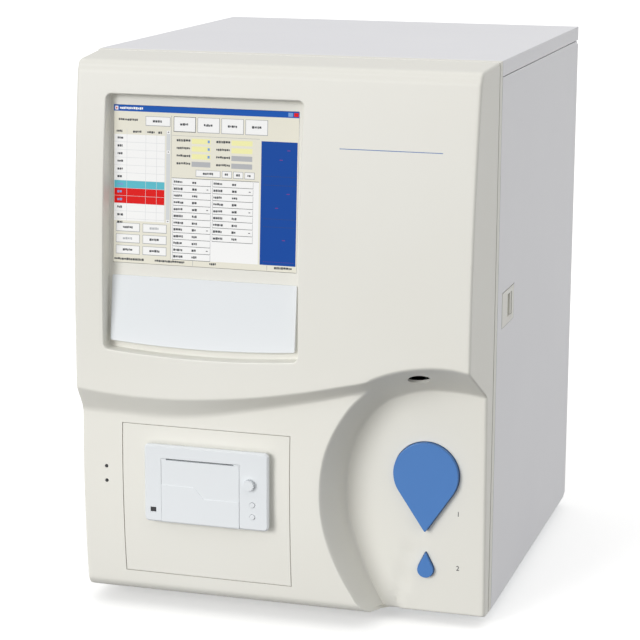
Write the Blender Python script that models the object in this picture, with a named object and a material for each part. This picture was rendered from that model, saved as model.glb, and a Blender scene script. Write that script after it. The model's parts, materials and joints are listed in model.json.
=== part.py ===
"""Bench hematology analyzer with a moulded front, a metal case and its sampling mechanism.

Metres, +Z up, front towards -Y. The origin is the middle of the underside. Pieces are placed
from a datum at the middle of the seam between front and case, level with the case's underside.
"""

import math

import bmesh
import bpy
from mathutils import Matrix, Vector

# Overall
CASE_WIDTH = 0.370
CASE_HEIGHT = 0.4954
CASE_DEPTH = 0.3687
SHELL_DEPTH = 0.085
REAR_REACH = 0.0063
FOOT_HEIGHT = 0.010
SHEET = 0.0012
GAP = 0.0003
PANEL_GAP = 0.0006
OVERRUN = 0.012

# Round shapes
FINE_SIDES = 32
ROUND_SIDES = 20
SMALL_SIDES = 12
CORNER_STEPS = 3
SHARP_ANGLE = math.radians(35)

# Front shell
SHELL_WALL = 0.003
SHELL_DRAFT_SHARE = 0.0578
RIM_DEPTH = 0.0076
RIM_WIDTH = 0.012
RIM_GROOVE = 0.0006
CROWN_DEPTH = 0.064
CROWN_FALL = 0.0045
CROWN_RADIUS = 0.008
BROW_HEIGHT = 0.245
FACE_STEPS = 8
LOWER_DEPTH = 0.070
LOWER_BOW = 0.009
LOWER_BOW_HEIGHT = 0.125
LOWER_STEPS = 8
LEDGE_LIFT_SHARE = 0.3
LEDGE_X_SHARES = (-0.04, 0.014, 0.112, 0.216, 0.319, 0.455, 0.588, 0.674, 0.766)
LEDGE_UPPER_SHARES = (0.4067, 0.4031, 0.3962, 0.3942, 0.3975, 0.4082, 0.4257, 0.4405, 0.4562)
LEDGE_LOWER_SHARES = (0.3585, 0.3577, 0.3565, 0.3547, 0.3613, 0.3811, 0.4037, 0.4205, 0.4390)
LEDGE_STEPS = 2

# Sample well, whose outline is given at two depths as shares of its width and height
WELL_WIDTH_SHARE = 0.38054
WELL_HEIGHT_SHARE = 0.48648
WELL_OUTER_DEPTH = 0.069
WELL_INNER_DEPTH = 0.027
WELL_BACK_FOOT = 0.0233
WELL_BACK_LEAN_SHARE = 0.0277
WELL_CENTRE_SHARES = (0.61, 0.456)
WELL_OUTER_SHARES = (
    (0.370, -0.05), (0.233, 0.061), (0.106, 0.198), (0.014, 0.370), (0.005, 0.545), (0.060, 0.680),
    (0.173, 0.805), (0.300, 0.884), (0.430, 0.925), (0.600, 0.952), (0.780, 0.961), (0.966, 0.951),
    (1.120, 0.935),
)
WELL_INNER_SHARES = (
    (0.375, -0.05), (0.251, 0.081), (0.150, 0.220), (0.090, 0.345), (0.080, 0.500), (0.125, 0.632),
    (0.225, 0.742), (0.338, 0.805), (0.450, 0.836), (0.600, 0.857), (0.770, 0.860), (0.977, 0.849),
    (1.120, 0.840),
)
WELL_STEPS = 2

# Screen bay
BAY_SIDE_MARGIN = 0.032
BAY_RIGHT_MARGIN = 0.0067
BAY_TOP_MARGIN = 0.0329
BAY_LEDGE_MARGIN = 0.0379
BAY_SAG = 0.0045
BAY_RADIUS = 0.005
BAY_DEPTH = 0.059
BAY_LEAN_SHARE = 0.0576
SCREEN_INSET = 0.0035
SCREEN_WIDTH = 0.1702
SCREEN_DROP = 0.0105
SCREEN_HEIGHT = 0.139
GLASS_THICKNESS = 0.0026
MODULE_MARGIN = 0.008
MODULE_THICKNESS = 0.009
LABEL_INSET = 0.0032
LABEL_RIGHT_MARGIN = 0.0054
LABEL_DROP = 0.011
LABEL_FOOT_MARGIN = 0.0072
LABEL_TOP_DEPTH = 0.069
LABEL_LEAN_SHARE = 0.12
LABEL_SAG = 0.0035
LABEL_RADIUS = 0.0015

# Printer panel and printer
PANEL_SIDE_MARGIN = 0.043
PANEL_WELL_MARGIN = 0.0287
PANEL_BOTTOM = 0.026
PANEL_LEDGE_MARGIN = 0.0097
PANEL_THICKNESS = 0.0025
PRINTER_SHIFT = 0.00325
PRINTER_DROP = 0.015
PRINTER_WIDTH = 0.117
PRINTER_HEIGHT = 0.072
PRINTER_FACE = 0.078
PRINTER_BEZEL = 0.0077
PRINTER_RADIUS = 0.004
PRINTER_EDGE = 0.0015
NECK_MARGIN = 0.004
NECK_REAR = 0.025
DOOR_INSET = 0.0163
DOOR_WIDTH = 0.0735
DOOR_DROP = 0.0124
DOOR_THICKNESS = 0.003
DOOR_RELIEF = 0.0004
DOOR_STEP_UPPER_DROP = 0.0247
DOOR_STEP_LOWER_DROP = 0.0346
DOOR_STEP_START = 0.031
DOOR_STEP_END = 0.0405
SLOT_WIDTH = 0.064
SLOT_HEIGHT = 0.0014
SLOT_INSET = 0.0044
HINGE_INSET = 0.0025
HINGE_RISE = 0.002
HINGE_GROOVE = 0.0036
HINGE_GROOVE_HEIGHT = 0.0085
BAY_WALL = 0.0022
ROLL_FLOOR = 0.004
ROLL_CEILING = 0.0011
ROLL_BAY_REAR = 0.0295
ROLL_RADIUS = 0.020
ROLL_CORE = 0.006
ROLL_WIDTH = 0.057
PLATEN_RADIUS = 0.004
PLATEN_SHAFT = 0.0012
PLATEN_WIDTH = 0.061
PLATEN_DROP = 0.0066
PLATEN_BACK = 0.0055
EAR_WIDTH = 0.0025
EAR_REACH = 0.009
EAR_HEIGHT = 0.009
KNOB_OFFSET = 0.0098
KNOB_DROP = 0.0171
KNOB_RADIUS = 0.0053
KNOB_PROUD = 0.004
KNOB_STEM = 0.002
KNOB_TEETH = 16
KNOB_TOOTH_SHARE = 0.9
TONGUE_LENGTH = 0.0142
TONGUE_WIDTH = 0.003
TONGUE_THICKNESS = 0.0018
KEEPER_WALL = 0.0015
KEEPER_REACH = 0.0019
KEEPER_HALF = 0.0025
KEY_RADIUS = 0.0024
KEY_LENGTH = 0.0075
KEY_PROUD = 0.0008
KEY_OFFSET = 0.0123
KEY_DROP = 0.0187
KEY_SPACING = 0.0111
KEY_BORE_LENGTH = 0.009
LAMP_INSET = 0.0084
LAMP_RISE = 0.0114
LAMP_WIDTH = 0.0048
LAMP_HEIGHT = 0.0038
LAMP_DEPTH = 0.0022

# Status lights
LIGHT_INSET = 0.027
LIGHT_UPPER_Z = 0.1246
LIGHT_LOWER_Z = 0.111
LIGHT_RADIUS = 0.0014
LIGHT_REACH = 0.0108
LIGHT_BOARD_DEPTH = 0.0596
LIGHT_BOARD_WIDTH = 0.016
LIGHT_BOARD_MARGIN = 0.009
BOARD_THICKNESS = 0.0016
POST_RADIUS = 0.002

# Push buttons
BUTTON_INSET = 0.0551
START_Z = 0.1303
START_RADIUS = 0.0297
START_TIP = 0.0533
DILUTE_Z = 0.0411
DILUTE_RADIUS = 0.0073
DILUTE_TIP = 0.0166
DROP_STEPS = 20
BUTTON_FACE = 0.032
DILUTE_FACE = 0.0285
BUTTON_SKIRT = 0.002
SKIRT_FRONT = 0.0206
SKIRT_THICKNESS = 0.0016
BUTTON_CROWN = 0.0012
STEM_RADIUS = 0.003
STEM_END = 0.0112
SWITCH_SIZE = 0.014
SWITCH_FRONT = 0.012
SWITCH_BORE_END = 0.0072
SWITCH_BOARD_DEPTH = 0.0066
SWITCH_BOARD_WIDTH = 0.050
SWITCH_BOARD_MARGIN = 0.018

# Sampling mechanism
PROBE_INSET = 0.055
PROBE_DEPTH = 0.060
PROBE_RADIUS = 0.0011
PROBE_TIP_DROP = 0.0075
PROBE_FERRULE = 0.003
FERRULE_HEIGHT = 0.010
MOUTH_RADIUS = 0.010
GUIDE_DROP = 0.0105
GUIDE_BORE = 0.0072
FRAME_RISE = 0.007
FRAME_HEADROOM = 0.0654
FRAME_PLATE = 0.0025
FRAME_WIDTH = 0.064
FRAME_ARM = 0.003
LOWER_ARM_REACH = 0.072
UPPER_ARM_REACH = 0.054
RAIL_DEPTH = 0.035
RAIL_SPREAD = 0.014
RAIL_RADIUS = 0.003
SCREW_RADIUS = 0.003
CARRIAGE_DROP = 0.030
CARRIAGE_HEIGHT = 0.020
CARRIAGE_WIDTH = 0.044
CARRIAGE_FRONT = 0.067
CARRIAGE_REAR = 0.027
SLIDE_CLEARANCE = 0.0003
MOTOR_SIDE = 0.035
MOTOR_HEIGHT = 0.030
MOTOR_CHAMFER = 0.004
RINSE_RADIUS = 0.009
RINSE_HEIGHT = 0.014
RINSE_BORE = 0.002
RINSE_NIPPLE = 0.002
RINSE_NIPPLE_LENGTH = 0.015

# Metal case
TOP_FLANGE = 0.0136
DOOR_FLANGE = 0.008
DOOR_FLANGE_MARGIN = 0.016
BULKHEAD_Y = 0.0025
TRAY_THICKNESS = 0.0015
TRAY_WALL = 0.014
REAR_PANEL_INSET = 0.0077
WALL_X = 0.018
PIVOT_INSET = 0.003
PIVOT_RADIUS = 0.0015
PIVOT_EYE = 0.0029
PIVOT_TAB_HALF = 0.0025
TAB_RISE = 0.003
DOOR_NOTCH = 0.0075
BRACKET_WIDTH = 0.012
BRACKET_GAP_X = 0.022
BRACKET_HEIGHT = 0.016
BRACKET_ARM = 0.0024
PIN_LENGTH = 0.0058
LATCH_Y = 0.018
LATCH_LENGTH = 0.052
LATCH_Z = 0.272
LATCH_HEIGHT = 0.032
LATCH_DEPTH = 0.011
LATCH_BODY_MARGIN = 0.004
LATCH_SLOT_Y = 0.043
LATCH_SLOT_LENGTH = 0.019
LATCH_SLOT_HEIGHT = 0.021
LATCH_SLOT_DEPTH = 0.0088
THUMB_LENGTH = 0.005
THUMB_INSET = 0.0008
BOLT_HEIGHT = 0.007
BOLT_THICKNESS = 0.002
BOLT_INSET = 0.0055
BOLT_TIP = 0.008
STRIKER_CLEARANCE = 0.002
FOOT_SIDE_INSET = 0.045
FOOT_FRONT_Y = 0.050
FOOT_REAR_INSET = 0.0487
FOOT_RADIUS = 0.012
FOOT_TAPER = 0.0015

# Rear fittings
FAN_SIDE_INSET = 0.0882
FAN_HEADROOM = 0.0939
FAN_SIDE = 0.080
FAN_DEPTH = 0.0254
FAN_BORE = 0.0375
FAN_HUB = 0.016
FAN_STRUT = 0.004
FAN_BACK = 0.004
FAN_BLADES = 7
BLADE_RADIUS = 0.0355
BLADE_THICKNESS = 0.0014
BLADE_CHORD = 0.014
BLADE_TWIST = math.radians(38)
ROTOR_DEPTH = 0.016
GUARD_THICKNESS = 0.002
GUARD_WIRE = 0.0022
GUARD_RINGS = 3
INLET_SIDE_INSET = 0.0632
INLET_Z = 0.048
INLET_WIDTH = 0.048
INLET_HEIGHT = 0.060
INLET_FLANGE = 0.0022
INLET_BODY_MARGIN = 0.004
INLET_BODY_DEPTH = 0.020
SOCKET_WIDTH = 0.027
SOCKET_HEIGHT = 0.020
SOCKET_DROP = 0.013
SOCKET_DEPTH = 0.015
BLADE_PIN_WIDTH = 0.002
BLADE_PIN_HEIGHT = 0.004
BLADE_PIN_SPACING = 0.007
ROCKER_RISE = 0.015
ROCKER_BAY_WIDTH = 0.022
ROCKER_BAY_HEIGHT = 0.014
ROCKER_BAY_DEPTH = 0.0085
ROCKER_HALF = 0.0063
ROCKER_CREST = 0.0015
ROCKER_VALLEY = 0.0004
ROCKER_ROOT = 0.003
ROCKER_TILT = math.radians(10)
DATA_SHIFT = 0.011
DATA_Z = 0.045
DATA_WIDTH = 0.062
DATA_HEIGHT = 0.024
DATA_PLATE = 0.002
DATA_BOSS_WIDTH = 0.0165
DATA_BOSS_HEIGHT = 0.009
DATA_BOSS_PROUD = 0.0035
DATA_BOSS_SHIFT = 0.017
DATA_BODY_DEPTH = 0.010
DATA_BODY_MARGIN = 0.004
USB_WIDTH = 0.0075
USB_HEIGHT = 0.014
USB_DEPTH = 0.008
USB_SHIFTS = (0.006, 0.019)
PORT_SIDE_INSET = 0.0732
PORT_Z = 0.100
PORT_SPACING = 0.034
PORT_PLATE_SIDE = 0.066
PORT_PLATE = 0.002
PORT_STEM = 0.0045
PORT_TAIL = 0.014
PORT_COLLAR = 0.007
PORT_COLLAR_LENGTH = 0.005
PORT_NIPPLE = 0.0032
PORT_BORE = 0.0018

# Electronics
SUPPLY_SIDE_INSET = 0.0112
SUPPLY_WIDTH = 0.110
SUPPLY_REAR_INSET = 0.176
SUPPLY_LENGTH = 0.150
SUPPLY_HEIGHT = 0.062
SUPPLY_FIN = 0.004
SUPPLY_SLOTS = 6
BOARD_Y = 0.060
BOARD_REAR_MARGIN = 0.061
BOARD_Z = 0.150
BOARD_HEIGHT = 0.220
BOARD_POST = 0.008
BOARD_POST_INSET = 0.012
CHIP_THICKNESS = 0.0025
CHIP_SHARES = (
    (0.15, 0.20, 0.16), (0.45, 0.30, 0.20), (0.75, 0.25, 0.12), (0.30, 0.65, 0.14), (0.65, 0.70, 0.18),
)

# Fluidics on the right face of the middle wall
BATH_PLACE_SHARE = 0.24153
BATH_SPACING = 0.060
BATH_OFFSET = 0.0325
BATH_SHELF_Z = 0.290
BATH_RADIUS = 0.013
BATH_BORE = 0.0105
BATH_LIP = 0.017
BATH_LIP_THICKNESS = 0.0025
BATH_DROP = 0.038
BATH_RISE = 0.020
BATH_FLOOR = 0.005
BATH_NIPPLE = 0.003
BATH_NIPPLE_LENGTH = 0.010
SHELF_MARGIN = 0.024
SHELF_THICKNESS = 0.002
VALVE_PLACE_SHARE = 0.57739
VALVE_Z = 0.300
VALVE_SPACING = 0.024
VALVE_COUNT = 5
VALVE_RADIUS = 0.010
VALVE_LENGTH = 0.028
MANIFOLD_WIDTH = 0.022
MANIFOLD_HEIGHT = 0.026
SYRINGE_Y = 0.100
SYRINGE_OFFSET = 0.0325
SYRINGE_PLATE_WIDTH = 0.060
SYRINGE_BOTTOM = 0.040
SYRINGE_TOP = 0.225
SYRINGE_PLATE = 0.003
SYRINGE_CLAMP = 0.010
SYRINGE_CLAMP_HALF = 0.014
BARREL_RADIUS = 0.009
BARREL_BORE = 0.0068
BARREL_LENGTH = 0.070
BARREL_BASE = 0.005
PLUNGER_RADIUS = 0.0064
PLUNGER_HEAD = 0.010
PLUNGER_ROD = 0.003
PLUNGER_INSERT = 0.064
SYRINGE_MOTOR_HEIGHT = 0.035
PUMP_PLACE_SHARE = 0.70333
PUMP_Z = 0.130
PUMP_RADIUS = 0.030
PUMP_BODY = 0.022
PUMP_CUP = 0.020
PUMP_CUP_BORE = 0.0262
PUMP_HUB = 0.012
PUMP_ARM = 0.006
PUMP_ROLLER = 0.0052
PUMP_ROLLER_REACH = 0.0195
PUMP_ROTOR_DEPTH = 0.015
PUMP_ROLLERS = 3
PUMP_MOTOR_RADIUS = 0.018

# Places worked out from the sizes above
HALF_WIDTH = CASE_WIDTH / 2
OVERALL_DEPTH = SHELL_DEPTH + CASE_DEPTH + REAR_REACH
DATUM_PLACE = (0, SHELL_DEPTH - OVERALL_DEPTH / 2, FOOT_HEIGHT)
SHELL_REAR = -(GAP + RIM_DEPTH + RIM_GROOVE)
SIDE_TOP = CASE_HEIGHT - TOP_FLANGE - PANEL_GAP
INNER_TOP = CASE_HEIGHT - SHEET - GAP
INNER_HALF = HALF_WIDTH - SHEET - PANEL_GAP
FLOOR_TOP = TRAY_THICKNESS + GAP
REAR_INNER = CASE_DEPTH - REAR_PANEL_INSET
REAR_OUTER = REAR_INNER + SHEET
REAR_SEAT = REAR_OUTER + GAP
BULKHEAD_BACK = BULKHEAD_Y + SHEET
CABIN_DEPTH = REAR_INNER - BULKHEAD_BACK
WALL_FACE = WALL_X + SHEET + GAP
LEDGE_FOOT = CASE_HEIGHT * min(LEDGE_LOWER_SHARES)
LEDGE_HEAD = CASE_HEIGHT * min(LEDGE_UPPER_SHARES)

WELL_WIDTH = CASE_WIDTH * WELL_WIDTH_SHARE
WELL_HEIGHT = CASE_HEIGHT * WELL_HEIGHT_SHARE
WELL_LEFT = HALF_WIDTH - WELL_WIDTH

BAY_LEFT = BAY_SIDE_MARGIN - HALF_WIDTH
BAY_TOP = CASE_HEIGHT - BAY_TOP_MARGIN
BAY_BOTTOM = LEDGE_HEAD + BAY_LEDGE_MARGIN
SCREEN_LEFT = BAY_LEFT + SCREEN_INSET
SCREEN_TOP = BAY_TOP - SCREEN_DROP
SCREEN_BOTTOM = SCREEN_TOP - SCREEN_HEIGHT
BAY_RIGHT = SCREEN_LEFT + SCREEN_WIDTH + BAY_RIGHT_MARGIN
LABEL_LEFT = BAY_LEFT + LABEL_INSET
LABEL_RIGHT = BAY_RIGHT - LABEL_RIGHT_MARGIN
LABEL_TOP = SCREEN_BOTTOM - LABEL_DROP
LABEL_BOTTOM = BAY_BOTTOM + LABEL_FOOT_MARGIN

PANEL_LEFT = PANEL_SIDE_MARGIN - HALF_WIDTH
PANEL_WIDTH = WELL_LEFT - PANEL_WELL_MARGIN - PANEL_LEFT
PANEL_TOP = LEDGE_FOOT - PANEL_LEDGE_MARGIN
PANEL_HEIGHT = PANEL_TOP - PANEL_BOTTOM
PRINTER_X = PANEL_LEFT + PANEL_WIDTH / 2 + PRINTER_SHIFT
PRINTER_LEFT = PRINTER_X - PRINTER_WIDTH / 2
PRINTER_RIGHT = PRINTER_X + PRINTER_WIDTH / 2
PRINTER_TOP = PANEL_TOP - PRINTER_DROP
PRINTER_BOTTOM = PRINTER_TOP - PRINTER_HEIGHT
DOOR_LEFT = PRINTER_LEFT + DOOR_INSET
DOOR_RIGHT = DOOR_LEFT + DOOR_WIDTH
DOOR_TOP = PRINTER_TOP - DOOR_DROP
DOOR_BACK = DOOR_THICKNESS - PRINTER_FACE
DOOR_STEP_HIGH = DOOR_TOP - DOOR_STEP_UPPER_DROP
DOOR_STEP_LOW = DOOR_TOP - DOOR_STEP_LOWER_DROP
SLOT_LEFT = DOOR_LEFT + SLOT_INSET
KNOB_X = DOOR_RIGHT + KNOB_OFFSET
KNOB_Z = DOOR_TOP - KNOB_DROP
KEY_X = DOOR_RIGHT + KEY_OFFSET
KEY_UPPER_Z = KNOB_Z - KEY_DROP
KEY_LOWER_Z = KEY_UPPER_Z - KEY_SPACING
LAMP_X = PRINTER_LEFT + LAMP_INSET
LAMP_Z = PRINTER_BOTTOM + LAMP_RISE
ROLL_BAY_LEFT = DOOR_LEFT + BAY_WALL
ROLL_BAY_RIGHT = DOOR_RIGHT - BAY_WALL
ROLL_BAY_FLOOR = PRINTER_BOTTOM + ROLL_FLOOR
ROLL_BAY_TOP = DOOR_TOP - ROLL_CEILING
PLATEN_Z = DOOR_TOP - PLATEN_DROP
PLATEN_Y = DOOR_BACK + PLATEN_BACK
DOOR_HINGE = (0, HINGE_INSET - PRINTER_FACE, PRINTER_BOTTOM + HINGE_RISE)

LIGHT_X = LIGHT_INSET - HALF_WIDTH
BUTTON_X = HALF_WIDTH - BUTTON_INSET
PROBE_X = HALF_WIDTH - PROBE_INSET
PROBE_TIP_Z = WELL_HEIGHT - PROBE_TIP_DROP
GUIDE_BOTTOM = WELL_HEIGHT - GUIDE_DROP
FRAME_BOTTOM = WELL_HEIGHT + FRAME_RISE
FRAME_TOP = CASE_HEIGHT - FRAME_HEADROOM
CARRIAGE_Z = FRAME_TOP - CARRIAGE_DROP

PIVOT_X = HALF_WIDTH - PIVOT_INSET
PIVOT_Y = CASE_DEPTH - PIVOT_INSET
LATCH_FACE = HALF_WIDTH
LATCH_INNER = HALF_WIDTH - LATCH_DEPTH
FOOT_X = HALF_WIDTH - FOOT_SIDE_INSET
FOOT_REAR_Y = CASE_DEPTH - FOOT_REAR_INSET

FAN_X = FAN_SIDE_INSET - INNER_HALF
FAN_Z = INNER_TOP - FAN_HEADROOM
FAN_FRONT = REAR_INNER - GAP - FAN_DEPTH
INLET_X = INLET_SIDE_INSET - INNER_HALF
DATA_X = (INLET_X + WALL_X) / 2 + DATA_SHIFT
PORT_X = INNER_HALF - PORT_SIDE_INSET
ROCKER_AXIS = (INLET_X, REAR_SEAT + INLET_FLANGE / 2, INLET_Z + ROCKER_RISE)

SUPPLY_X = SUPPLY_SIDE_INSET - INNER_HALF
SUPPLY_Y = REAR_INNER - SUPPLY_REAR_INSET
BOARD_LENGTH = REAR_INNER - BOARD_REAR_MARGIN - BOARD_Y
BATH_X = WALL_FACE + BATH_OFFSET
BATH_Y = BULKHEAD_BACK + CABIN_DEPTH * BATH_PLACE_SHARE
VALVE_Y = BULKHEAD_BACK + CABIN_DEPTH * VALVE_PLACE_SHARE
SYRINGE_X = WALL_FACE + SYRINGE_OFFSET
SYRINGE_BARREL_Z = SYRINGE_TOP - SYRINGE_CLAMP - GAP - BARREL_LENGTH
PUMP_Y = BULKHEAD_BACK + CABIN_DEPTH * PUMP_PLACE_SHARE


# Outlines and curves


def spline(points, steps):
    """A smooth curve through the points, with this many pieces between each two."""
    curve = []
    for n in range(len(points) - 1):
        before = Vector(points[max(n - 1, 0)])
        start = Vector(points[n])
        end = Vector(points[n + 1])
        after = Vector(points[min(n + 2, len(points) - 1)])
        for step in range(steps):
            t = step / steps
            bend = (2 * before - 5 * start + 4 * end - after) * t**2
            twist = (3 * start - before - 3 * end + after) * t**3
            curve.append((2 * start + (end - before) * t + bend + twist) / 2)
    curve.append(Vector(points[-1]))
    return curve


def circle(radius, sides, centre=(0, 0), start=0.0):
    turn = 2 * math.pi / sides
    return [
        (centre[0] + radius * math.cos(start + n * turn), centre[1] + radius * math.sin(start + n * turn))
        for n in range(sides)
    ]


def rounded(low, high, radius, sag=0.0, bottom_steps=1):
    """A rectangle with round corners, counterclockwise, whose lower edge sags in the middle by sag."""
    corners = (
        (high[0] - radius, low[1] + radius, -90),
        (high[0] - radius, high[1] - radius, 0),
        (low[0] + radius, high[1] - radius, 90),
        (low[0] + radius, low[1] + radius, 180),
    )
    points = []
    for x, z, first in corners:
        for step in range(CORNER_STEPS + 1):
            angle = math.radians(first + 90 * step / CORNER_STEPS)
            points.append((x + radius * math.cos(angle), z + radius * math.sin(angle)))
    start, end = points[-1], points[0]
    for step in range(1, bottom_steps):
        points.append((start[0] + (end[0] - start[0]) * step / bottom_steps, start[1]))
    middle = (low[0] + high[0]) / 2
    half = (high[0] - low[0]) / 2
    return [
        (x, z + sag * ((x - middle) / half) ** 2 * (high[1] - z) / (high[1] - low[1])) for x, z in points
    ]


def drop(radius, tip, grow, centre, upwards):
    """A drop: a circle and the two lines that run from it to a tip."""
    half_angle = math.asin(radius / tip)
    reach = tip + grow / math.sin(half_angle)
    touch = math.pi / 2 - half_angle
    side = 1 if upwards else -1
    first = side * math.pi / 2
    points = [(centre[0], centre[1] + side * reach)]
    for step in range(DROP_STEPS + 1):
        angle = first + touch + (2 * math.pi - 2 * touch) * step / DROP_STEPS
        points.append(
            (centre[0] + (radius + grow) * math.cos(angle), centre[1] + (radius + grow) * math.sin(angle))
        )
    return points


# Forms: each returns a closed bmesh


def loft(rings):
    """A body through rings of equal counts, closed at both ends."""
    form = bmesh.new()
    loops = [[form.verts.new(point) for point in ring] for ring in rings]
    for first, second in zip(loops, loops[1:]):
        for n in range(len(first)):
            form.faces.new((first[n - 1], first[n], second[n], second[n - 1]))
    form.faces.new(list(reversed(loops[0])))
    form.faces.new(loops[-1])
    bmesh.ops.recalc_face_normals(form, faces=form.faces)
    return form


def spread(outline, axis, level):
    """Points of a flat outline at a level along one axis; the outline is in the other two, in order."""
    points = []
    for first, second in outline:
        point = [first, second]
        point.insert(axis, level)
        points.append(tuple(point))
    return points


def prism(outline, axis, start, end):
    return loft([spread(outline, axis, start), spread(outline, axis, end)])


def box(low, high):
    form = bmesh.new()
    size = [b - a for a, b in zip(low, high)]
    centre = [(a + b) / 2 for a, b in zip(low, high)]
    bmesh.ops.create_cube(form, size=1, matrix=Matrix.Translation(centre) @ Matrix.Diagonal((*size, 1)))
    return form


def rod(start, end, radius, sides=ROUND_SIDES, end_radius=None):
    """A round bar or cone between two points."""
    start = Vector(start)
    end = Vector(end)
    span = end - start
    turn = span.to_track_quat("Z", "Y").to_matrix().to_4x4()
    form = bmesh.new()
    bmesh.ops.create_cone(
        form,
        cap_ends=True,
        segments=sides,
        radius1=radius,
        radius2=radius if end_radius is None else end_radius,
        depth=span.length,
        matrix=Matrix.Translation((start + end) / 2) @ turn,
    )
    return form


# Objects


def finish(name, colour, roughness, metallic=0.0, alpha=1.0):
    material = bpy.data.materials.new(name)
    material.use_nodes = True
    shader = material.node_tree.nodes["Principled BSDF"]
    shader.inputs["Base Color"].default_value = (*colour, 1)
    shader.inputs["Roughness"].default_value = roughness
    shader.inputs["Metallic"].default_value = metallic
    shader.inputs["Alpha"].default_value = alpha
    return material


def place(name, form, material, pivot):
    """An object whose origin is the pivot, hung from the datum."""
    bmesh.ops.translate(form, verts=form.verts, vec=-Vector(pivot))
    mesh = bpy.data.meshes.new(name)
    form.to_mesh(mesh)
    form.free()
    mesh.materials.append(material)
    mesh.shade_smooth()
    mesh.set_sharp_from_angle(angle=SHARP_ANGLE)
    piece = bpy.data.objects.new(name, mesh)
    bpy.context.scene.collection.objects.link(piece)
    piece.parent = bpy.data.objects["case_datum"]
    piece.location = pivot
    return piece


def combine(piece, form, operation, pivot):
    """Joins a form to a piece or cuts it away, with a hidden helper and a Boolean."""
    if isinstance(form, bmesh.types.BMesh):
        label = f"{piece.name}_{operation.lower()}_{len(piece.modifiers)}"
        form = place(label, form, piece.data.materials[0], pivot)
        form.hide_render = True
        form.display_type = "WIRE"
    step = piece.modifiers.new(operation.title(), "BOOLEAN")
    step.operation = operation
    step.object = form


def make(name, material, base, add=(), cut=(), fill=(), pivot=(0, 0, 0)):
    """One sub-part: a base form, forms joined to it, forms cut away, and forms joined after the cuts."""
    piece = place(name, base, material, pivot)
    for form in add:
        combine(piece, form, "UNION", pivot)
    for form in cut:
        combine(piece, form, "DIFFERENCE", pivot)
    for form in fill:
        combine(piece, form, "UNION", pivot)
    return piece


# Front shell


def face_depth(height):
    """How far the upper face stands in front of the seam at a height."""
    top = CASE_HEIGHT - CROWN_FALL
    rise = max(0, (height - BROW_HEIGHT) / (top - BROW_HEIGHT))
    return SHELL_DEPTH - (SHELL_DEPTH - CROWN_DEPTH) * rise**2


def lower_depth(height):
    """How far the lower face stands in front of the seam at a height."""
    bow = (height - LOWER_BOW_HEIGHT) / LOWER_BOW_HEIGHT
    return LOWER_DEPTH - LOWER_BOW * bow**2


def well_back_depth(height):
    return WELL_BACK_FOOT + WELL_BACK_LEAN_SHARE * height


def bay_depth(height):
    return BAY_DEPTH + BAY_LEAN_SHARE * (SCREEN_TOP - height)


def side_profile(inset, rear):
    """The front shell seen from its side, as (Y, Z), drawn in by the inset."""

    def top(y):
        return CASE_HEIGHT + CROWN_FALL * y / CROWN_DEPTH - inset

    corner = (inset - CROWN_DEPTH, top(-CROWN_DEPTH))
    start = (corner[0] + CROWN_RADIUS, top(corner[0] + CROWN_RADIUS))
    end = (inset - face_depth(corner[1] - CROWN_RADIUS), corner[1] - CROWN_RADIUS)
    points = [(rear, inset), (rear, top(rear)), start]
    for step in range(1, CORNER_STEPS + 1):
        t = step / (CORNER_STEPS + 1)
        points.append(
            tuple((1 - t) ** 2 * a + 2 * t * (1 - t) * b + t**2 * c for a, b, c in zip(start, corner, end))
        )
    for step in range(FACE_STEPS + 1):
        height = end[1] + (BROW_HEIGHT - end[1]) * step / FACE_STEPS
        points.append((inset - face_depth(height), height))
    points.append((inset - SHELL_DEPTH, inset))
    return points


def shell_block(inset, rear):
    half = HALF_WIDTH - inset
    profile = side_profile(inset, rear)
    return loft([[(side * (half + SHELL_DRAFT_SHARE * y), y, z) for y, z in profile] for side in (-1, 1)])


def under_ledge(inset):
    """The space in front of the lower face and under the slanted ledge."""
    table = zip(LEDGE_X_SHARES, LEDGE_UPPER_SHARES, LEDGE_LOWER_SHARES)
    rings = []
    for x_share, upper_share, lower_share in spline(list(table), LEDGE_STEPS):
        x = CASE_WIDTH * x_share - HALF_WIDTH
        upper = CASE_HEIGHT * upper_share
        lower = CASE_HEIGHT * lower_share
        ring = [(-SHELL_DEPTH - OVERRUN, -OVERRUN), (-lower_depth(-OVERRUN), -OVERRUN)]
        for step in range(LOWER_STEPS + 1):
            height = lower * step / LOWER_STEPS
            ring.append((-lower_depth(height), height))
        reach = 1 + OVERRUN / (SHELL_DEPTH - lower_depth(lower))
        ring.append((-SHELL_DEPTH - OVERRUN, lower + (upper - lower) * reach))
        rings.append([(x, y + inset, z + LEDGE_LIFT_SHARE * inset) for y, z in ring])
    return loft(rings)


def well_outline(depth, grow):
    """The well's outline at a depth, as (X, Z), pushed out from its centre by grow."""
    blend = (WELL_OUTER_DEPTH - depth) / (WELL_OUTER_DEPTH - WELL_INNER_DEPTH)
    shares = [
        (a[0] + (b[0] - a[0]) * blend, a[1] + (b[1] - a[1]) * blend)
        for a, b in zip(WELL_OUTER_SHARES, WELL_INNER_SHARES)
    ]
    centre = Vector((WELL_LEFT + WELL_WIDTH * WELL_CENTRE_SHARES[0], WELL_HEIGHT * WELL_CENTRE_SHARES[1]))
    points = []
    for x_share, z_share in spline(shares, WELL_STEPS):
        point = Vector((WELL_LEFT + WELL_WIDTH * x_share, WELL_HEIGHT * z_share))
        point += (point - centre).normalized() * grow
        points.append((point.x, point.y))
    return [*points, (points[-1][0], points[0][1])]


def well_space(grow):
    front_depth = SHELL_DEPTH + OVERRUN
    front = [(x, -front_depth, z) for x, z in well_outline(front_depth, grow)]
    back = [(x, grow - well_back_depth(z), z) for x, z in well_outline(WELL_INNER_DEPTH, grow)]
    return loft([front, back])


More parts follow.
